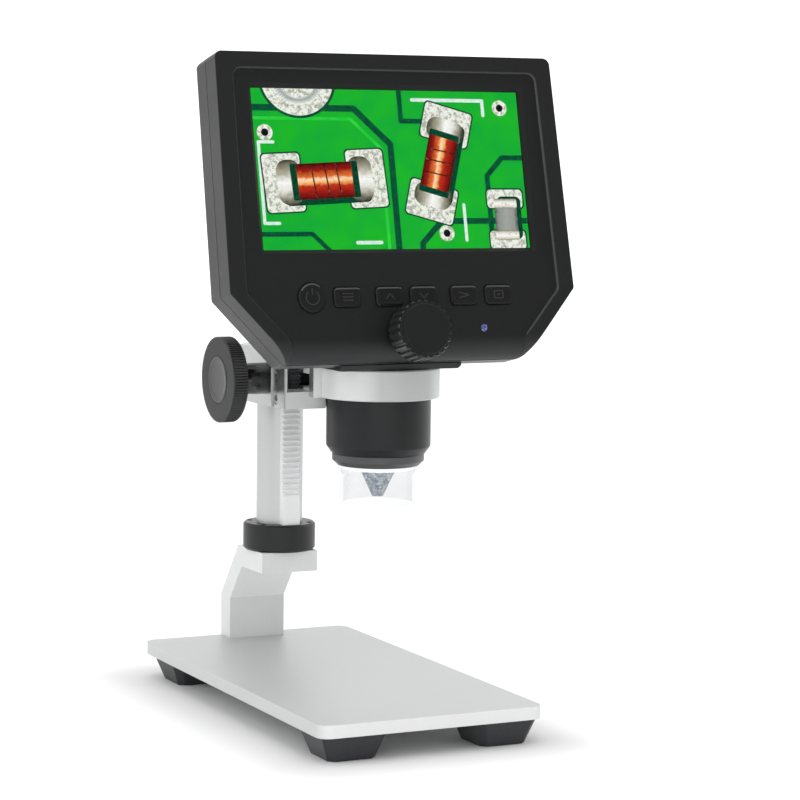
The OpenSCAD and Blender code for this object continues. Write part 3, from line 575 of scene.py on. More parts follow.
def fillet(P, R, n=6):
    P = [np.array(p, float) for p in P]
    out = []
    for i in range(len(P)):
        a, b, c = P[i - 1], P[i], P[(i + 1) % len(P)]
        r = R[i] if isinstance(R, (list, tuple)) else R
        r = max(r, 0.02)
        u, v = unit(a - b), unit(c - b)
        h = math.acos(max(-1, min(1, float(u @ v)))) / 2
        m = b + unit(u + v) * r / math.sin(h)
        s = b + u * (r / math.tan(h)) - m
        a0 = math.atan2(s[1], s[0])
        sg = 1 if (b - a)[0] * (c - b)[1] - (b - a)[1] * (c - b)[0] > 0 else -1
        for k in range(n + 1):
            q = a0 + sg * k * (math.pi - 2 * h) / n
            out.append((m[0] + r * math.cos(q), m[1] + r * math.sin(q)))
    return out


def sd_poly(P, poly):
    """Signed distance of points P to a closed polygon, negative inside."""
    P = np.asarray(P, float)
    V = np.asarray(poly, float)
    d = np.full(len(P), 1e18)
    s = np.ones(len(P))
    for i in range(len(V)):
        a, b = V[i], V[i - 1]
        e = b - a
        w = P - a
        t = np.clip((w @ e) / max(e @ e, 1e-12), 0, 1)
        q = w - t[:, None] * e
        d = np.minimum(d, (q * q).sum(1))
        c1 = P[:, 1] >= a[1]
        c2 = P[:, 1] < b[1]
        c3 = e[0] * w[:, 1] > e[1] * w[:, 0]
        flip = (c1 & c2 & c3) | (~c1 & ~c2 & ~c3)
        s[flip] *= -1
    return s * np.sqrt(d)


def rect(w, h, cx=0.0, cy=0.0):
    return [(cx - w / 2, cy - h / 2), (cx + w / 2, cy - h / 2), (cx + w / 2, cy + h / 2), (cx - w / 2, cy + h / 2)]


def circle(r, cx=0.0, cy=0.0, n=48):
    return [(cx + r * math.cos(2 * math.pi * k / n), cy + r * math.sin(2 * math.pi * k / n)) for k in range(n)]


# ------------------------------------------------------------------ housing front
OUT = [(-42.9, -63.6), (42.9, -63.6), (62.7, -40.95), (61.3, 38.1), (-61.3, 38.1), (-62.7, -40.95)]
OUT_R = [2.4, 2.4, 1.5, 2.5, 2.5, 1.5]
GAP = 0.2
FACE = [(-42.4, -70), (42.4, -70), (42.4, -57), (56.7, -41), (55.2, 32.7), (-55.2, 32.7), (-56.7, -41), (-42.4, -57)]
FACE_R = [1, 1, 2, 3, 3, 3, 3, 2]
LCD_W, LCD_H = 97.8, 53.4
BU = [-33.9, -21.3, -6.2, 6.2, 21.1, 33.9]
BV = -42.6
KEY_W, KEY_H, KEY_R = 9.7, 6.3, 4.8     # caps; the openings are 0.3 wider all round
LED_U, LED_V = 27.7, -53.6
KNOB_U, KNOB_V = 1.1, -55.0
COVER = ((-56.9, 24), (56.9, 24), (-45.5, -52.6), (45.5, -52.6))
EDGE = 0.3
RIM, PANEL, SPLIT, BACK = -2.5, -1.5, 5.75, 14.5


def grow(P, t, R):
    return fillet(inset(P, t), [max(r - t, 0.3) for r in R], 7)


OUTLINE = fillet(OUT, OUT_R, 8)
FACELINE = fillet(FACE, FACE_R, 6)
LCDLINE = fillet(rect(LCD_W, LCD_H), 0.3, 3)
BTN_LINES = [circle(KEY_R + GAP, BU[0], BV, 56)] + [fillet(rect(KEY_W + 2 * GAP, KEY_H + 2 * GAP, u, BV), 1.55, 6) for u in BU[1:]]


def sstep(t):
    t = np.clip(t, 0, 1)
    return t * t * (3 - 2 * t)


def front_depth(P):
    P = np.asarray(P, float)
    so = np.minimum(sd_poly(P, OUTLINE), 0.0)
    si = sd_poly(P, FACELINE)
    sl = sd_poly(P, LCDLINE)
    v = P[:, 1]
    x = np.clip(-55 - v, 0, 8.4999)
    rim = np.maximum(RIM, 6.0 - np.sqrt(8.5 ** 2 - x * x))
    x = np.clip(-56 - v, 0, 7.4999)
    pan = np.maximum(PANEL, 6.0 - np.sqrt(7.5 ** 2 - x * x))
    # outer edge round, faded out at the chin
    e = np.clip(EDGE + so, 0, EDGE)
    rim = rim + (EDGE - np.sqrt(np.maximum(EDGE ** 2 - e * e, 0))) * (1 - sstep((-55 - v) / 4.0))
    s = sstep((0.45 - si) / 0.9)
    d = rim * (1 - s) + np.maximum(pan, PANEL) * s
    # bevel round the screen
    b = np.clip(1 - sl / 1.35, 0, 1)
    d = np.where(sl < 1.6, d + 1.35 * b, d)
    # fine chamfer round each key opening
    for q in BTN_LINES:
        sb = sd_poly(P, q)
        d = d + 0.15 * np.clip(1 - sb / 0.35, 0, 1)
    return d


def build_front():
    loops = []
    for t in (0.0, 0.01, 0.035, 0.08, 0.14, 0.21, 0.3):
        loops.append(grow(OUT, t, OUT_R))
    for t in (-0.45, -0.3, -0.15, 0.0, 0.15, 0.3, 0.45):
        loops.append(fillet(inset(FACE, t), [max(r - t, 0.3) for r in FACE_R], 6))
    for w in (0.0, 1.35, 1.7):
        loops.append(fillet(rect(LCD_W + 2 * w, LCD_H + 2 * w), 0.3 + w * 0.9, 4))
    for i, u in enumerate(BU):
        for w in (0.0, 0.35, 0.6):
            loops.append(circle(KEY_R + GAP + w, u, BV, 56) if i == 0 else fillet(rect(KEY_W + 2 * (GAP + w), KEY_H + 2 * (GAP + w), u, BV), 1.55 + w, 6))
    loops.append(circle(1.35, LED_U, LED_V, 20))
    loops.append(circle(1.6, KNOB_U, KNOB_V, 16))
    pts, edges = [], []
    for lp in loops:
        k = len(pts)
        pts += [Vector(p) for p in lp]
        edges += [(k + i, k + (i + 1) % len(lp)) for i in range(len(lp))]
    for k in range(0, 19):
        v = -55 - 8.5 * math.sin(math.radians(k * 5))
        a = len(pts)
        us = [-64] + list(np.linspace(-48, 48, 25)) + [64]
        pts += [Vector((u, min(v, -55.0001))) for u in us]
        edges += [(a + i, a + i + 1) for i in range(len(us) - 1)]
    # a light grid keeps flat regions well divided
    for u in np.arange(-56, 57, 8.0):
        for v in np.arange(-52, 37, 8.0):
            pts.append(Vector((float(u) + 0.013, float(v) + 0.017)))
    vs, es, fs = delaunay_2d_cdt(pts, edges, [], 0, 1e-4, False)[:3]
    V = np.array([(p.x, p.y) for p in vs])
    F = np.array([list(f) for f in fs])
    cen = V[F].mean(1)
    keep = (sd_poly(cen, OUTLINE) < 0) & (sd_poly(cen, LCDLINE) > 0)
    for q in BTN_LINES:
        keep &= sd_poly(cen, q) > 0
    keep &= np.hypot(cen[:, 0] - LED_U, cen[:, 1] - LED_V) > 1.32
    F = F[keep]
    used = np.unique(F)
    D = front_depth(V)
    bm = bmesh.new()
    vm = {}
    for i in used:
        vm[int(i)] = bm.verts.new((V[i][0], D[i], V[i][1]))
    for f in F:
        try:
            bm.faces.new([vm[int(i)] for i in f])
        except ValueError:
            pass
    bm.verts.ensure_lookup_table()
    # walls: outer side to the parting line, and the inner sides of the openings
    def pull(select, stages):
        edge = [e for e in bm.edges if len(e.link_faces) == 1 and all(select(w.co.x, w.co.z) for w in e.verts)]
        for fn in stages:
            r = bmesh.ops.extrude_edge_only(bm, edges=edge)
            nv = [g for g in r["geom"] if isinstance(g, bmesh.types.BMVert)]
            for w in nv:
                w.co = fn(w.co)
            edge = [g for g in r["geom"] if isinstance(g, bmesh.types.BMEdge)]

    def near(poly, tol):
        def f(x, z):
            return abs(float(sd_poly([(x, z)], poly)[0])) < tol
        return f

    def to_depth(d):
        return lambda c: Vector((c.x, max(c.y, d) if d < 3 else d, c.z))

    def shrink(d, t):
        def f(c):
            s = float(np.hypot(c.x, c.z))
            return Vector((c.x * (1 - t / s), d, c.z * (1 - t / s)))
        return f

    pull(near(OUTLINE, 0.03), [to_depth(SPLIT - 0.35), shrink(SPLIT - 0.05, 0.25), shrink(SPLIT - 0.05, 1.4)])
    pull(near(LCDLINE, 0.03), [to_depth(0.8)])
    for q in BTN_LINES:
        pull(near(q, 0.03), [to_depth(1.2)])
    pull(lambda x, z: abs(math.hypot(x - LED_U, z - LED_V) - 1.35) < 0.05, [to_depth(0.0)])
    fc = np.array([f.calc_center_median()[:] for f in bm.faces])
    sf = sd_poly(fc[:, [0, 2]], FACELINE)
    so = sd_poly(fc[:, [0, 2]], OUTLINE)
    for f, k, o, d, v in zip(bm.faces, sf, so, fc[:, 1], fc[:, 2]):
        if d < 5.6 and o < -0.02:
            # material 3 is the step between rim and panel, with its painted highlight
            if abs(k) < 0.16 and d < -0.5 and v > -56:
                f.material_index = 3
            elif k < 0:
                f.material_index = 1
            elif d < RIM + 0.05 if v > -55 else o < -0.25:
                f.material_index = 2
    for w in bm.verts:
        w.co = (SCREEN @ w.co) * MM
    return finish_mesh("front_housing", bm, [HOUSING, FACEM, RIMM, STEP_PAINTED_HIGHLIGHT], "head", ("front_bezel",), 32.0, weighted=True)


FRONT = build_front()


# ------------------------------------------------------------------ housing back
def build_back():
    bm = bmesh.new()
    R = 0.9
    prof = [(0.25, SPLIT + 0.05), (0.02, SPLIT + 0.3), (0.1, SPLIT + 3.6), (0.15, BACK - R)]
    for k in range(1, 9):
        a = math.radians(k * 11.25)
        prof.append((0.15 + R * (1 - math.cos(a)), BACK - R + R * math.sin(a)))
    prof = [(1.4, SPLIT + 0.05)] + prof
    rows = []
    for t, d in prof:
        lp = fillet(inset(OUT, t), [max(r - t * 0.6, 0.6) for r in OUT_R], 8)
        rows.append([bm.verts.new((p[0], d, p[1])) for p in lp])
    for a, b in zip(rows, rows[1:]):
        n = len(a)
        for i in range(n):
            bm.faces.new((a[i], a[(i + 1) % n], b[(i + 1) % n], b[i]))
    # flat back with slots and screw wells
    edge = [Vector((w.co.x, w.co.z)) for w in rows[-1]]
    holes = [fillet(rect(1.5, 16, -15.2 + i * 4, 16), 0.7, 4) for i in range(9)]
    wells = [circle(2.0, x, y, 24) for x, y in COVER]
    wells2 = [circle(2.35, x, y, 24) for x, y in COVER]
    port = fillet(rect(30, 26, 0, -46), 1.0, 4)      # passage into the hump, for the lens carrier
    pts, edges = list(edge), [(i, (i + 1) % len(edge)) for i in range(len(edge))]
    for lp in holes + wells + wells2 + [port]:
        k = len(pts)
        pts += [Vector(p) for p in lp]
        edges += [(k + i, k + (i + 1) % len(lp)) for i in range(len(lp))]
    vs, es, fs = delaunay_2d_cdt(pts, edges, [], 0, 1e-4, False)[:3]
    V = np.array([(p.x, p.y) for p in vs])
    F = np.array([list(f) for f in fs])
    cen = V[F].mean(1)
    ring = [(p.x, p.y) for p in edge]
    keep = sd_poly(cen, ring) < 0
    for q in holes + wells + [port]:
        keep &= sd_poly(cen, q) > 0
    D = np.full(len(V), BACK)
    vm = {}
    for f in F[keep]:
        for i in f:
            i = int(i)
            if i not in vm:
                vm[i] = bm.verts.new((V[i][0], BACK, V[i][1]))
        bm.faces.new([vm[int(i)] for i in f])
    bmesh.ops.remove_doubles(bm, verts=bm.verts, dist=1e-3)
    bm.verts.ensure_lookup_table()
    for q, d in [(h, BACK - 1.8) for h in holes] + [(w, BACK - 2.4) for w in wells]:
        ed = [e for e in bm.edges if len(e.link_faces) == 1 and all(abs(w.co.y - BACK) < 1e-3 and abs(float(sd_poly([(w.co.x, w.co.z)], q)[0])) < 0.02 for w in e.verts)]
        r = bmesh.ops.extrude_edge_only(bm, edges=ed)
        nv = [g for g in r["geom"] if isinstance(g, bmesh.types.BMVert)]
        for w in nv:
            w.co.y = d
        ne = [g for g in r["geom"] if isinstance(g, bmesh.types.BMEdge)]
        if ne:
            try:
                bmesh.ops.contextual_create(bm, geom=ne)
            except Exception:
                pass
    for w in bm.verts:
        w.co = (SCREEN @ w.co) * MM
    # hump over the barrel: level cross-sections in the head's own frame
    secs = []
    z0 = 101.95
    inv = HEAD.inverted()

    def back_y(z):                       # the housing's back plane
        p = inv @ (SCREEN @ Vector((0, BACK, (z - 165.87 + BACK * math.sin(TILT)) / math.cos(TILT))))
        return p.y

    for z in list(np.linspace(z0, z0 + 16, 9)) + list(np.linspace(z0 + 18, z0 + 33.5, 12)):
        h = z - z0
        yb = 17.0 if h < 17 else 17.0 - 14.5 * ((h - 17) / 16.5) ** 1.25
        edge_r = 0.6
        wdt = 22.0
        if h < edge_r:
            wdt -= (edge_r - h) * 0.5
            yb -= (edge_r - h) * 0.5
        if h > 30:
            wdt -= 2.2 * (1 - math.sqrt(max(0.0, 1 - ((h - 30) / 3.6) ** 2)))
        y0 = back_y(z) - 1.6
        yb = max(yb, y0 + 2.0)
        rr = min(7.5, (yb - y0) * 0.8)
        lp = fillet([(-wdt, y0), (wdt, y0), (wdt, yb), (-wdt, yb)], [0.05, 0.05, rr, rr], 8)
        secs.append(put_verts(bm, [(p[0], p[1], z) for p in lp], HEAD))
    for a, b in zip(secs, secs[1:]):
        n = len(a)
        for i in range(n):
            if i != 8:                   # open towards the housing
                bm.faces.new((a[i], a[(i + 1) % n], b[(i + 1) % n], b[i]))
    # underside with the round way in from the barrel
    loc = [inv @ (w.co / MM) for w in secs[0]]
    way = circle(14.5, 0, 0, 48)
    pts = [Vector((p.x, p.y)) for p in loc] + [Vector(p) for p in way]
    n = len(loc)
    edges = [(i, (i + 1) % n) for i in range(n)] + [(n + i, n + (i + 1) % 48) for i in range(48)]
    vs, es, fs = delaunay_2d_cdt(pts, edges, [], 0, 1e-4, False)[:3]
    V = np.array([(p.x, p.y) for p in vs])
    F = np.array([list(f) for f in fs])
    cen = V[F].mean(1)
    vm = {}
    for f in F[(sd_poly(cen, [(p.x, p.y) for p in loc]) < 0) & (sd_poly(cen, way) > 0)]:
        for i in f:
            i = int(i)
            if i not in vm:
                vm[i] = put_verts(bm, [(V[i][0], V[i][1], z0)], HEAD)[0]
        bm.faces.new([vm[int(i)] for i in f])
    bm.faces.new(secs[-1])
    bmesh.ops.remove_doubles(bm, verts=bm.verts, dist=2e-6)
    return finish_mesh("rear_housing", bm, HOUSING, "head", ("rear_cover",), 35.0, weighted=True)


REAR = build_back()


# ------------------------------------------------------------------ keys
def build_key(i, node):
    bm = bmesh.new()
    W, H = KEY_W, KEY_H
    prof = [(0.0, 1.0), (0.0, -1.6), (0.06, -1.84), (0.2, -2.04), (0.42, -2.16), (0.66, -2.2), (0.9, -2.16), (1.1, -2.06), (1.25, -2.02)]
    rows = []
    for t, d in prof:
        if i == 0:
            lp = circle(KEY_R - t, 0, 0, 56)
        else:
            lp = fillet(rect(W - 2 * t, H - 2 * t), max(1.35 - t * 0.7, 0.4), 7)
        rows.append([bm.verts.new((p[0] + BU[i], d, p[1] + BV)) for p in lp])
    for j, (a, b) in enumerate(zip(rows, rows[1:])):
        n = len(a)
        for k in range(n):
            f = bm.faces.new((a[k], a[(k + 1) % n], b[(k + 1) % n], b[k]))
            c = f.calc_center_median()
            x, y = c.x - BU[i], c.z - BV
            top = y > 2.2 and x < 2.6 if i == 0 else y > H / 2 - 0.75 and abs(x) < W / 2 - 0.5
            # material 2 is the painted highlight on the top edge
            if top and 3 <= j <= 4:
                f.material_index = 2
            # material 3 is the painted light on the lower side walls
            elif j <= 2:
                f.material_index = 3
    bm.faces.new(rows[-1])
    bm.faces.new(rows[0][::-1])
    # raised print: generic marks only
    def bar(pts, w, z=-2.03):
        for p, q in zip(pts, pts[1:]):
            p, q = Vector(p), Vector(q)
            d = (q - p).normalized()
            s = Vector((-d.y, d.x)) * w / 2
            vs = [bm.verts.new((c.x + BU[i], z, c.y + BV)) for c in (p - s, q - s, q + s, p + s)]
            vb = [bm.verts.new((c.x + BU[i], z + 0.08, c.y + BV)) for c in (p - s, q - s, q + s, p + s)]
            f = bm.faces.new(vs)
            f.material_index = 1
            for k in range(4):
                f = bm.faces.new((vs[k], vs[(k + 1) % 4], vb[(k + 1) % 4], vb[k]))
                f.material_index = 1
    if i == 0:
        arc = [(2.3 * math.sin(math.radians(a)), 2.3 * math.cos(math.radians(a))) for a in range(40, 321, 14)]
        bar(arc, 0.42)
        bar([(0, 1.0), (0, 3.0)], 0.42)
    elif i == 1:
        for y in (1.1, 0.0, -1.1):
            bar([(-1.9, y), (1.9, y)], 0.36)
    elif i == 2:
        bar([(-1.5, -0.9), (0, 0.9), (1.5, -0.9)], 0.4)
    elif i == 3:
        bar([(-1.5, 0.9), (0, -0.9), (1.5, 0.9)], 0.4)
    elif i == 4:
        bar([(-2.0, -0.9), (2.0, 0.0), (-2.0, 0.9)], 0.38)
    else:
        bar([(-1.6, -1.2), (1.6, -1.2), (1.6, 1.2), (-1.6, 1.2), (-1.6, -1.2)], 0.36)
        bar([(-0.5, 0), (0.5, 0)], 0.5)
    for w in bm.verts:
        w.co = (SCREEN @ w.co) * MM
    return finish_mesh(node + "_cap", bm, [KEYS, MARK, KEY_TOP_PAINTED_HIGHLIGHT, KEY_SIDE_PAINTED_LIGHT], BODY_OF[node], (node,), 30.0)


for _i, _n in enumerate(["power_button", "button_2", "button_3", "button_4", "button_5", "button_6"]):
    build_key(_i, _n)

# ------------------------------------------------------------------ front knob
KN = SCREEN @ Matrix.Translation((KNOB_U, 0, KNOB_V)) @ Matrix.Rotation(math.pi / 2, 4, "X")  # local z towards the viewer


def build_focus_knob():
    bm = bmesh.new()
    ribs, per = 24, 14

    def rmod(a, r, z):
        if r < 8.9 or z < 2.9 or z > 11.5:
            return 0.0
        x = (a * ribs / (2 * math.pi)) % 1.0
        x = abs(x - 0.5) * 2          # 0 at the rib's middle
        k = 1 - sstep(np.array([(x - 0.42) / 0.28]))[0]
        return (k - 1.0) * 0.75 * min(1.0, (11.3 - z) / 0.5 if z > 10.8 else 1.0)

    prof = [(0.0, 11.93), (7.7, 11.95, 0.2), (7.95, 12.0, 0.08), (8.15, 12.0, 0.08), (8.38, 11.75, 0.1), (8.4, 11.2, 0.05), (8.62, 11.05), (9.35, 11.0, 0.15), (9.65, 10.6, 0.2), (9.65, 3.3, 0.15), (9.3, 2.85, 0.15), (7.4, 2.8), (7.4, 1.8), (0.0, 1.8)]
    lathe_bm(bm, prof, KN, ribs * per, rmod=rmod)
    for f in bm.faces:
        c = KN.inverted() @ (f.calc_center_median() / MM)
        f.material_index = 1 if c.z > 10.9 else 0
    return finish_mesh("focus_knob_cap", bm, [FKNOB, KDISC], "focus_drive", ("focus_knob",), 34.0)


build_focus_knob()

# ------------------------------------------------------------------ indicator light
lathe("indicator_dome", [(0.0, 2.0), (0.5, 1.92, 0.2), (1.05, 1.66, 0.2), (1.3, 1.35, 0.1), (1.3, 0.0), (0.0, 0.0)],
      SCREEN @ Matrix.Translation((LED_U, 0, LED_V)) @ Matrix.Rotation(math.pi / 2, 4, "X"), LED, "head", ("indicator_lens",), 32)


# ------------------------------------------------------------------ screen and its generic micrograph
def emit_grad(name, stops, strength=1.0, across="Y", speck=None):
    """Emission with a colour ramp along UV, plus noise: reads as a lit round or shiny body."""
    g = G(name)
    uv = g.n("ShaderNodeUVMap", _uv_map="UVMap")
    sep = g.n("ShaderNodeSeparateXYZ")
    g.put(sep.inputs[0], uv.outputs[0])
    x = sep.outputs[across]
    x = g.math("ADD", x, g.rng(g.noise(1.6, 4.0, 0.65), 0.2, 0.8, -0.07, 0.07))
    r = g.n("ShaderNodeValToRGB")
    g.put(r.inputs[0], x)
    el = r.color_ramp.elements
    while len(el) < len(stops):
        el.new(0.5)
    for e, (p, c) in zip(el, stops):
        e.position = p
        e.color = rgb(*c)
    c = r.outputs[0]
    if speck:
        c = g.mix(g.rng(g.noise(speck[0], 5.0, 0.7), speck[1], speck[2], 0.0, 1.0), c, rgb(*speck[3]))
    e = g.n("ShaderNodeEmission", Strength=strength)
    g.put(e.inputs["Color"], c)
    return g.end(e.outputs[0])


PIC = {
    "mask": mat_emit("pic_mask", (0.004, 0.40, 0.035), 1.0, (0.01, 0.47, 0.02), 9.0, 0.35, 0.65),
    "deep": mat_emit("pic_deep", (0.0, 0.10, 0.035), 1.0, (0.0, 0.055, 0.03), 1.5, third=(0.10, 0.35, 0.15)),
    "trace": mat_emit("pic_trace", (0.012, 0.56, 0.04), 1.0, (0.03, 0.66, 0.05), 5.0),
    "print": mat_emit("pic_print", (0.80, 0.90, 0.86), 1.0, (0.62, 0.80, 0.74), 1.2),
    "pad": mat_emit("pic_pad", (0.86, 0.88, 0.80), 1.0, (0.42, 0.44, 0.36), 1.3, 0.46, 0.60, 5.0, third=(0.08, 0.09, 0.07), size3=0.55, lo3=0.60, hi3=0.68),
    "cap": emit_grad("pic_cap", [(0.0, (0.03, 0.03, 0.02)), (0.16, (0.30, 0.29, 0.22)), (0.34, (0.80, 0.80, 0.74)), (0.5, (0.95, 0.95, 0.92)), (0.72, (0.42, 0.40, 0.30)), (1.0, (0.03, 0.04, 0.02))], 1.0, "Y", (0.7, 0.60, 0.72, (0.12, 0.12, 0.08))),
    "coil": emit_grad("pic_coil", [(0.0, (0.06, 0.002, 0.002)), (0.2, (0.32, 0.008, 0.004)), (0.36, (0.50, 0.03, 0.008)), (0.46, (0.95, 0.45, 0.14)), (0.54, (0.95, 0.72, 0.45)), (0.62, (0.75, 0.16, 0.03)), (0.8, (0.30, 0.008, 0.004)), (1.0, (0.04, 0.001, 0.001))], 1.0, "Y", (0.5, 0.68, 0.76, (0.9, 0.55, 0.35))),
    "band": mat_emit("pic_band", (0.04, 0.004, 0.002), 1.0, (0.5, 0.22, 0.12), 0.5, 0.55, 0.7),
    "chip": emit_grad("pic_chip", [(0.0, (0.10, 0.11, 0.10)), (0.15, (0.30, 0.32, 0.30)), (0.5, (0.36, 0.38, 0.35)), (0.85, (0.27, 0.29, 0.27)), (1.0, (0.08, 0.09, 0.08))], 1.0, "Y", (0.9, 0.55, 0.8, (0.22, 0.24, 0.22))),
    "tin": emit_grad("pic_tin", [(0.0, (0.25, 0.22, 0.13)), (0.2, (0.75, 0.74, 0.66)), (0.45, (0.95, 0.95, 0.93)), (0.7, (0.80, 0.80, 0.72)), (1.0, (0.18, 0.16, 0.08))], 1.0, "X", (0.6, 0.56, 0.66, (0.30, 0.28, 0.20))),
    "shade": mat_emit("pic_shade", (0.0, 0.035, 0.015), 1.0, (0.0, 0.075, 0.03), 1.0),
    "lens": emit_grad("pic_ball", [(0.0, (0.95, 0.96, 0.95)), (0.3, (0.62, 0.65, 0.62)), (0.7, (0.32, 0.36, 0.33)), (1.0, (0.75, 0.78, 0.75))], 1.0, "Y", (0.8, 0.6, 0.7, (0.2, 0.22, 0.2))),
    "black": mat_emit("pic_black", (0.001, 0.004, 0.002), 1.0, (0.002, 0.01, 0.004), 1.0),
}


def build_picture():
    names = list(PIC)
    bm = bmesh.new()
    uvl = bm.loops.layers.uv.new("UVMap")
    LW, LH = LCD_W / 2 - 0.01, LCD_H / 2 - 0.01
    SX, SY = LCD_W / 95.0, LCD_H / 53.9
    state = {"d": 0.60}

    def clip(poly):
        def cut(pts, inside, cross):
            out = []
            for k in range(len(pts)):
                a, b = pts[k - 1], pts[k]
                ia, ib = inside(a), inside(b)
                if ia != ib:
                    out.append(cross(a, b))
                if ib:
                    out.append(b)
            return out
        for ax, s, lim in ((0, 1, LW), (0, -1, LW), (1, 1, LH), (1, -1, LH)):
            def ins(p, ax=ax, s=s, lim=lim):
                return s * p[0][ax] <= lim
            def crs(a, b, ax=ax, s=s, lim=lim):
                t = (lim - s * a[0][ax]) / (s * b[0][ax] - s * a[0][ax])
                return (a[0] + (b[0] - a[0]) * t, a[1] + (b[1] - a[1]) * t)
            poly = cut(poly, ins, crs)
            if len(poly) < 3:
                return []
        return poly

    def shape(local, c, rot, mat, uvbox=None):
        """local outline, placed at c and turned; UV runs 0..1 over its own box."""
        state["d"] -= 0.004
        L = np.array(local, float)
        lo, hi = (L.min(0), L.max(0)) if uvbox is None else uvbox
        cr, sr = math.cos(math.radians(rot)), math.sin(math.radians(rot))
        pts = []
        for p in L:
            q = Vector(((c[0] + p[0] * cr - p[1] * sr) * SX, (c[1] + p[0] * sr + p[1] * cr) * SY))
            pts.append((q, Vector(((p[0] - lo[0]) / max(hi[0] - lo[0], 1e-6), (p[1] - lo[1]) / max(hi[1] - lo[1], 1e-6)))))
        pts = clip(pts)
        if len(pts) < 3:
            return
        vs = [bm.verts.new((SCREEN @ Vector((p[0].x, state["d"], p[0].y))) * MM) for p in pts]
        f = bm.faces.new(vs)
        f.material_index = names.index(mat)
        for lp, p in zip(f.loops, pts):
            lp[uvl].uv = p[1]

    def box(w, h, c, rot, mat, r=0.0):
        shape(fillet(rect(w, h), r, 6) if r else rect(w, h), c, rot, mat)

    def line(pts, w, mat):
        for a, b in zip(pts, pts[1:]):
            d = (Vector(b) - Vector(a))
            m = (Vector(a) + Vector(b)) / 2
            box(d.length + w, w, m, math.degrees(math.atan2(d.y, d.x)), mat, w * 0.49)

    def ring(ro, ri, c, mat, a0=0, a1=360, n=48):
        for k in range(n):
            p, q = math.radians(a0 + (a1 - a0) * k / n), math.radians(a0 + (a1 - a0) * (k + 1) / n)
            state["d"] += 0.004
            shape([(ri * math.cos(p), ri * math.sin(p)), (ro * math.cos(p), ro * math.sin(p)), (ro * math.cos(q), ro * math.sin(q)), (ri * math.cos(q), ri * math.sin(q))], c, 0, mat)
        state["d"] -= 0.004

    box(200, 200, (0, 0), 0, "mask")
    # traces and dark gaps
    line([(-50, 20.5), (-12, 20.5), (0, 8.5), (0, -30)], 2.2, "deep")
    line([(-50, 17.0), (-13.5, 17.0), (-3.4, 7.0), (-3.4, -30)], 1.1, "trace")
    line([(50, -17.5), (16, -17.5), (8.5, -25), (8.5, -30)], 2.0, "deep")
    line([(50, 4.2), (40, 4.2), (34, -2), (34, -30)], 1.8, "deep")
    line([(4.5, 30), (4.5, 16.5), (14, 16.5)], 1.7, "deep")
    line([(-50, -21.6), (-30, -21.6), (-24, -27.6)], 1.6, "deep")
    # bright round at the upper left and a via row: solder ball and plated holes
    ring(13.5, 9.6, (-31, 30.5), "deep", 0, 360, 60)
    ring(12.6, 0.0, (-31, 30.5), "pad", 0, 360, 60)
    ring(9.0, 6.6, (-31, 30.5), "lens", 0, 360, 60)
    for c in ((-43.5, 12.2), (17.5, -21.6), (40.5, -9.0), (40.8, 21.4)):
        ring(2.7, 0.0, c, "pad", 0, 360, 28)
        ring(1.25, 0.0, c, "black", 0, 360, 24)
    # print: plain outlines only
    line([(-46, 9.0), (-46, -18.0)], 1.05, "print")
    line([(-46, 9.0), (-41, 9.0)], 1.05, "print")
    line([(-46, -18.0), (-41, -18.0)], 1.05, "print")
    line([(9.0, 23.8), (34.5, 23.8)], 1.2, "print")
    line([(34.5, 23.8), (34.5, 18.8)], 1.2, "print")
    line([(24.5, -12.0), (24.5, -24.0)], 1.1, "print")
    line([(-14.5, -24.6), (-6.2, -24.6)], 1.2, "print")

    def part_on_pads(c, rot, length, width, kind):
        """A two-ended component lying along its own x, on two pads."""
        def at(x, y=0.0):
            a = math.radians(rot)
            return (c[0] + x * math.cos(a) - y * math.sin(a), c[1] + x * math.sin(a) + y * math.cos(a))
        for s in (-1, 1):
            box(length * 0.42 + 1.0, width * 1.62 + 1.0, at(s * length * 0.47), rot, "shade", 1.6)
            box(length * 0.42, width * 1.62, at(s * length * 0.47), rot, "pad", 1.3)
        box(length * 0.98, width * 1.10, at(0.5, -1.3), rot, "shade", 2.0)
        if kind == "coil":
            for s in (-1, 1):
                box(length * 0.27, width * 1.26, at(s * length * 0.40), rot, "cap", length * 0.115)
                box(length * 0.10, width * 1.02, at(s * length * 0.33), rot, "shade", 0.6)
            box(length * 0.62, width, at(0), rot, "coil", 1.0)
            for x in (-0.13, 0.02, 0.15):
                box(length * 0.016, width * 0.98, at(x * length), rot + 4, "band", 0.08)
        else:
            box(length * 0.86, width * 1.02, at(0), rot, "chip", 0.4)
            for s in (-1, 1):
                box(length * 0.22, width * 1.06, at(s * length * 0.36), rot, "tin", 0.7)

    part_on_pads((-24.0, -3.8), 3, 31, 12.0, "coil")
    part_on_pads((16.8, 2.2), 74, 29, 10.5, "coil")
    part_on_pads((39.6, -17.0), 90, 15, 8.0, "chip")
    return finish_mesh("screen_picture", bm, [PIC[k] for k in names], "head", ("lcd_panel",), 180.0)


build_picture()


def build_window():
    bm = bmesh.new()
    w, h = LCD_W / 2 + 0.02, LCD_H / 2 + 0.02
    vs = [bm.verts.new((SCREEN @ Vector(p)) * MM) for p in ((-w, 0.05, -h), (w, 0.05, -h), (w, 0.05, h), (-w, 0.05, h))]
    bm.faces.new(vs)
    return finish_mesh("screen_glass", bm, WINDOW, "head", ("screen_window",), 180.0)


build_window()

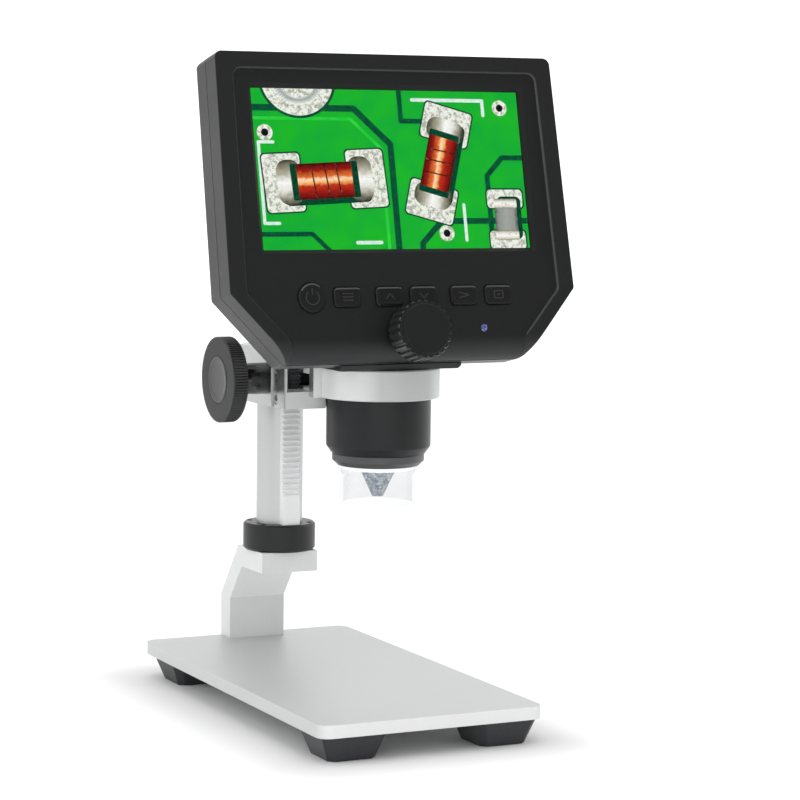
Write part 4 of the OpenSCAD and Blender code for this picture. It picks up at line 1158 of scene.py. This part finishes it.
# ------------------------------------------------------------------ barrel, tip, shroud, cone
lathe("barrel_shell", [(15.0, 70.9), (15.85, 70.92, 0.12), (17.55, 73.3, 0.2), (17.6, 75.0), (17.6, 99.7, 0.2), (16.0, 99.95), (15.9, 99.9), (15.9, 74.3), (11.2, 74.2), (11.2, 70.9)],
      HEAD, ANOD, "head", ("barrel",), 160, closed=True)
def build_tip():
    bm = bmesh.new()
    lathe_bm(bm, [(11.2, 65.4), (12.3, 65.35, 0.1), (12.4, 66.7), (13.7, 66.72, 0.1), (15.5, 68.4, 0.5), (15.5, 70.6, 0.15), (15.35, 70.86), (4.0, 70.8), (4.0, 67.25), (11.2, 67.2)], HEAD, 160, True)
    for f in bm.faces:
        c = HEAD.inverted() @ (f.calc_center_median() / MM)
        # material 1, the lip inside the shroud, takes the glowing reflector: painted light
        f.material_index = 1 if c.z < 66.71 or (c.z < 67.3 and math.hypot(c.x, c.y) < 11.3) else 0
    return finish_mesh("barrel_tip_shell", bm, [ANOD_T, REFLECTOR_PAINTED_GLOW], "head", ("barrel_tip",), 40)


build_tip()
lathe("clear_shroud_shell", [(11.6, 53.9, 0.0), (11.75, 53.8, 0.05), (12.65, 53.8, 0.12), (12.8, 54.1, 0.1), (12.8, 63.0, 0.5), (14.0, 63.9, 0.4), (14.0, 66.5, 0.15), (13.8, 66.68), (12.55, 66.66), (12.5, 64.1, 0.3), (11.6, 63.1, 0.5)],
      HEAD, CLEAR, "head", ("clear_shroud",), 128, closed=True)
lathe("nose_cone_shell", [(0.0, 57.4), (1.15, 57.0), (1.2, 56.05), (1.85, 56.0, 0.1), (2.0, 56.3, 0.1), (5.4, 63.5, 0.1), (5.45, 63.72, 0.05), (5.45, 64.3), (6.4, 64.32, 0.05), (6.45, 64.75, 0.05), (6.2, 64.8), (6.2, 67.2), (0.0, 67.2)],
      HEAD, CONE, "head", ("nose_cone",), 96)

# ------------------------------------------------------------------ height knob
KX = CX - 23.7


def build_side_knob():
    bm = bmesh.new()
    teeth = 96

    def rmod(a, r, z):
        if r < 14.2 or z < KX - 4.95 or z > KX - 0.5:
            return 0.0
        return -0.2 * (1 - math.cos(a * teeth)) / 2

    prof = [(0.0, KX - 4.75), (8.1, KX - 4.75), (8.1, KX - 5.35, 0.05), (8.3, KX - 5.4, 0.05), (14.05, KX - 5.4, 0.1), (14.3, KX - 5.3, 0.1), (14.4, KX - 4.95, 0.1), (14.35, KX - 0.6, 0.05), (13.9, KX - 0.05, 0.2), (5.6, KX), (0.0, KX)]
    lathe_bm(bm, prof, KNOBX, teeth * 6, rmod=rmod)
    for f in bm.faces:
        c = KNOBX.inverted() @ (f.calc_center_median() / MM)
        f.material_index = 1 if c.z < KX - 5.2 else 0
    return finish_mesh("side_knob_rim", bm, [KNOB, KFACE], "height_drive", ("side_knob",), 34.0)


build_side_knob()
lathe("knob_cap_dish", [(0.0, KX - 5.3), (3.0, KX - 5.32, 3.0), (5.6, KX - 5.4, 2.0), (7.1, KX - 5.57, 0.4), (7.5, KX - 5.59, 0.15), (7.85, KX - 5.5, 0.15), (8.02, KX - 5.28, 0.1), (8.02, KX - 4.75), (0.0, KX - 4.75)],
      KNOBX, CAPM, "height_drive", ("knob_cap",), 128)
lathe("shaft_bush_sleeve", [(2.82, CX - 23.45), (4.75, CX - 23.5, 0.2), (5.25, CX - 23.1, 0.15), (5.3, CX - 22.7, 0.1), (5.3, CX - 12.15), (5.2, CX - 12.03), (2.82, CX - 12.0)],
      KNOBX, GLOSS, "carriage", ("shaft_bush",), 96, closed=True)

# ------------------------------------------------------------------ stand
SLAB = polish("plate_slab", "base_plate", 0.45, 3, 50.0, [ALU_PLATE, ALU_RIM])
# side faces take the plate-edge material with its painted highlight ramp
for _p in SLAB.data.polygons:
    if abs(_p.normal.z) < 0.6 and abs(_p.center.x) > 0.005:
        _p.material_index = 1
    if abs(_p.normal.z) < 0.6 and _p.center.y < -0.07:
        _p.material_index = 1
BAR = polish("bracket_bar", "support_bracket", 0.35, 2, 28.0, [ALU_BAR, ALU_SLANT_PAINTED_BOUNCE])
# faces looking forward and down take the painted bounce light
for _p in BAR.data.polygons:
    if _p.normal.y < -0.3 and _p.normal.z < -0.15:
        _p.material_index = 1
FEET = polish("feet_pads", "base_feet", 0.5, 3, 20.0, [RUBBER, RUBBER_LIT_SIDE])
# left-facing sides take the painted lit-side rubber
for _p in FEET.data.polygons:
    if _p.normal.x < -0.75:
        _p.material_index = 1
RING = polish("clamp_ring_body", "clamp_ring", 0.3, 2, 40.0, [ALU_RING, ALU_CHEEK])
# the ring body carries the painted light ramp along X; its left end face takes the milled cheek finish
for _p in RING.data.polygons:
    if _p.normal.x < -0.97 and _p.center.x < (CX - 2.3) * MM:
        _p.material_index = 1
CARR = polish("carriage_body", "carriage_block", 0.3, 2, 40.0, [ALU_BLOCK, ALU_CHEEK, ALU_DIM_PAINTED_SHADE])
for _p in CARR.data.polygons:
    if _p.normal.x < -0.97 and _p.center.x < (CX - 10.0) * MM:
        _p.material_index = 1
    # front-left faces of the left cheek take the painted shade
    elif _p.center.x < (CX - 10.45) * MM and _p.center.y < (CY - 28.85) * MM and _p.center.z > 0.0914:
        _p.material_index = 2


def build_pocket_steps():
    """The two steps beside the pinion, above and below the slot of the shaft."""
    bm = bmesh.new()
    for z0, z1 in ((91.45, 92.6), (97.3, 104.3)):
        x0, x1, y0, y1, c = CX - 2.1, CX + 2.25, CY - 29.45, CY - 23.6, 0.2
        lo = [(x0 + c, y0), (x1, y0), (x1, y1), (x0 + c, y1), (x0, y1 - c), (x0, y0 + c)]
        a = put_verts(bm, [(x, y, z0) for x, y in lo], IDENT)
        b = put_verts(bm, [(x, y, z1) for x, y in lo], IDENT)
        bm.faces.new(a[::-1])
        bm.faces.new(b)
        for k in range(6):
            bm.faces.new((a[k], a[(k + 1) % 6], b[(k + 1) % 6], b[k]))
    # the steps take the lighter aluminium copy: painted light inside the pocket
    return finish_mesh("pocket_steps", bm, ALU_STEP_PAINTED_LIGHT, "carriage", (), 30.0, weighted=True)


build_pocket_steps()
polish("rack_bar", "rack", 0.06, 1, 40.0, ALU_RACK)
polish("neck_plate", "neck_flange", 0.35, 2, 50.0, NECKM)

# ------------------------------------------------------------------ CAD nodes that stay, with finished materials
KEEP = {
    "column": ALU_TURN, "foot_screws": STEEL, "bracket_screws": STEEL, "rack_screws": STEEL, "column_bolt": STEEL,
    "column_collar": ANOD_C, "ring_screws": STEEL, "side_screws": STEEL, "friction_pads": NYLON, "tension_screws": STEEL,
    "ring_grub_screw": STEEL, "pinion_shaft": ANOD, "pinion_gear": PINION, "knob_grub_screw": STEEL,
    "cover_screws": STEEL, "main_board": BOARD, "battery": FOIL, "button_board": BOARD, "key_switches": KEYS,
    "focus_shaft": STEEL, "focus_gear": NYLON, "focus_bracket": STEEL, "lens_carrier": ANOD, "objective_lens": WINDOW,
    "sensor_board": BOARD, "neck_screws": STEEL, "led_board": WHITE, "leds": LAMP,
    "dimmer_pot": KEYS, "dimmer_wheel": RUBBER, "usb_socket": STEEL, "card_socket": STEEL,
}
for _n, _m in KEEP.items():
    me = NODES[_n].data
    me.materials.clear()
    me.materials.append(_m)
    me.polygons.foreach_set("material_index", [0] * len(me.polygons))

# ------------------------------------------------------------------ floor, light, camera
Z0 = float(_lo.z)


def build_floor():
    bm = bmesh.new()
    D = 6.0
    rows = [(-6.0, 0.0), (2.2, 0.0)]
    for k in range(1, 13):
        a = math.radians(k * 7.5)
        rows.append((2.2 + 1.6 * math.sin(a), 1.6 * (1 - math.cos(a))))
    rows.append((3.8, 5.0))
    prev = None
    rot = Matrix.Rotation(math.radians(-26), 4, "Z")
    for y, z in rows:
        cur = [bm.verts.new(rot @ Vector((x, y, z + Z0))) for x in (-D, D)]
        if prev:
            bm.faces.new((prev[0], prev[1], cur[1], cur[0]))
        prev = cur
    bmesh.ops.recalc_face_normals(bm, faces=bm.faces)
    me = bpy.data.meshes.new("studio_floor")
    for f in bm.faces:
        f.smooth = True
    bm.to_mesh(me)
    bm.free()
    ob = bpy.data.objects.new("studio_floor", me)
    bpy.context.scene.collection.objects.link(ob)
    g = G("studio_floor")
    n = g.noise(60.0, 3.0, 0.5)
    c = g.mix(g.rng(n, 0.3, 0.7, 0.0, 1.0), rgb(0.80, 0.80, 0.80), rgb(0.82, 0.82, 0.82))
    p = bsdf(g, c, 0.8, spec=0.1)
    p.inputs["Emission Color"].default_value = rgb(1, 1, 1)
    # the glow that keeps the floor white fades near the stand: a painted shadow round the stand, on top of the rendered
    # one
    sp = g.n("ShaderNodeSeparateXYZ")
    g.put(sp.inputs[0], g.n("ShaderNodeTexCoord").outputs["Object"])
    dx = g.math("MAXIMUM", g.math("SUBTRACT", g.math("ABSOLUTE", sp.outputs[0]), 0.036), 0.0)
    dy = g.math("MAXIMUM", g.math("SUBTRACT", g.math("ABSOLUTE", sp.outputs[1]), 0.072), 0.0)
    dd = g.math("SQRT", g.math("ADD", g.math("MULTIPLY", dx, dx), g.math("MULTIPLY", dy, dy)))
    g.put(p.inputs["Emission Strength"], g.rng(dd, 0.004, 0.030, 0.0, 0.24, True))
    me.materials.append(g.end(p.outputs[0]))
    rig.stage(ob)


build_floor()


def area(name, loc, target, size, power, color=(1, 1, 1), size_y=None):
    l = bpy.data.lights.new(name, "AREA")
    l.shape = "RECTANGLE"
    l.size = size
    l.size_y = size_y or size
    l.energy = power
    l.color = color
    o = bpy.data.objects.new(name, l)
    bpy.context.scene.collection.objects.link(o)
    o.location = loc
    o.rotation_euler = (Vector(target) - Vector(loc)).to_track_quat("-Z", "Y").to_euler()
    return o


area("key_left", (-1.7, 0.3, 1.1), (0, 0, 0.1), 1.3, 6)
area("top", (0.1, 0.0, 1.9), (0, 0, 0.05), 1.6, 6)
area("front_high", (-0.4, -1.2, 1.5), (0, 0, 0.05), 1.4, 5.5)
area("front_low", (-0.5, -1.6, 0.3), (0, 0, 0.03), 1.8, 3.0, size_y=0.5)
area("right_fill", (1.7, 0.2, 0.7), (0, 0, 0.1), 1.2, 4)
area("backdrop", (0.9, 1.6, 1.7), (1.4, 3.2, 0.8), 1.6, 28)

world = bpy.data.worlds.new("studio")
bpy.context.scene.world = world
world.use_nodes = True
bg = world.node_tree.nodes["Background"]
# a white room that is dimmer on the side the screen faces
_wt = world.node_tree
_tc = _wt.nodes.new("ShaderNodeTexCoord")
_dot = _wt.nodes.new("ShaderNodeVectorMath")
_dot.operation = "DOT_PRODUCT"
_dot.inputs[1].default_value = (0.12, -0.99, 0.0)
_wt.links.new(_tc.outputs["Generated"], _dot.inputs[0])
_mr = _wt.nodes.new("ShaderNodeMapRange")
_mr.interpolation_type = "SMOOTHSTEP"
for _k, _v in (("From Min", 0.1), ("From Max", 0.95), ("To Min", 0.85), ("To Max", 0.42)):
    _mr.inputs[_k].default_value = _v
_wt.links.new(_dot.outputs["Value"], _mr.inputs["Value"])
_cc = _wt.nodes.new("ShaderNodeCombineColor")
for _k in range(3):
    _wt.links.new(_mr.outputs[0], _cc.inputs[_k])
_wt.links.new(_cc.outputs[0], bg.inputs["Color"])
bg.inputs["Strength"].default_value = 1.0

cam = bpy.data.cameras.new("camera")
cam.sensor_fit = "HORIZONTAL"
cam.sensor_width = 36.0
cam.lens = 2734.0 / 800 * 36.0
cam.clip_start, cam.clip_end = 0.05, 50
camo = bpy.data.objects.new("camera", cam)
bpy.context.scene.collection.objects.link(camo)
cy_, cp_, cr_ = math.radians(26.2397), math.radians(5.7955), math.radians(0.7414)
fwd = Vector((math.sin(cy_) * math.cos(cp_), math.cos(cy_) * math.cos(cp_), -math.sin(cp_)))
r0 = Vector((math.cos(cy_), -math.sin(cy_), 0))
u0 = r0.cross(fwd)
rt = r0 * math.cos(cr_) + u0 * math.sin(cr_)
up = -r0 * math.sin(cr_) + u0 * math.cos(cr_)
camo.matrix_world = Matrix.Translation(Vector((-375.866, -809.793, 181.207)) * MM) @ Matrix((rt, up, -fwd)).transposed().to_4x4()
bpy.context.scene.camera = camo
bpy.context.scene.view_settings.view_transform = "Standard"

_lo, _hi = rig.bounds()
json.dump({"cad_box": CAD_BOX, "visual_box": [[float(c) for c in _lo], [float(c) for c in _hi]]}, open("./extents.json", "w"))
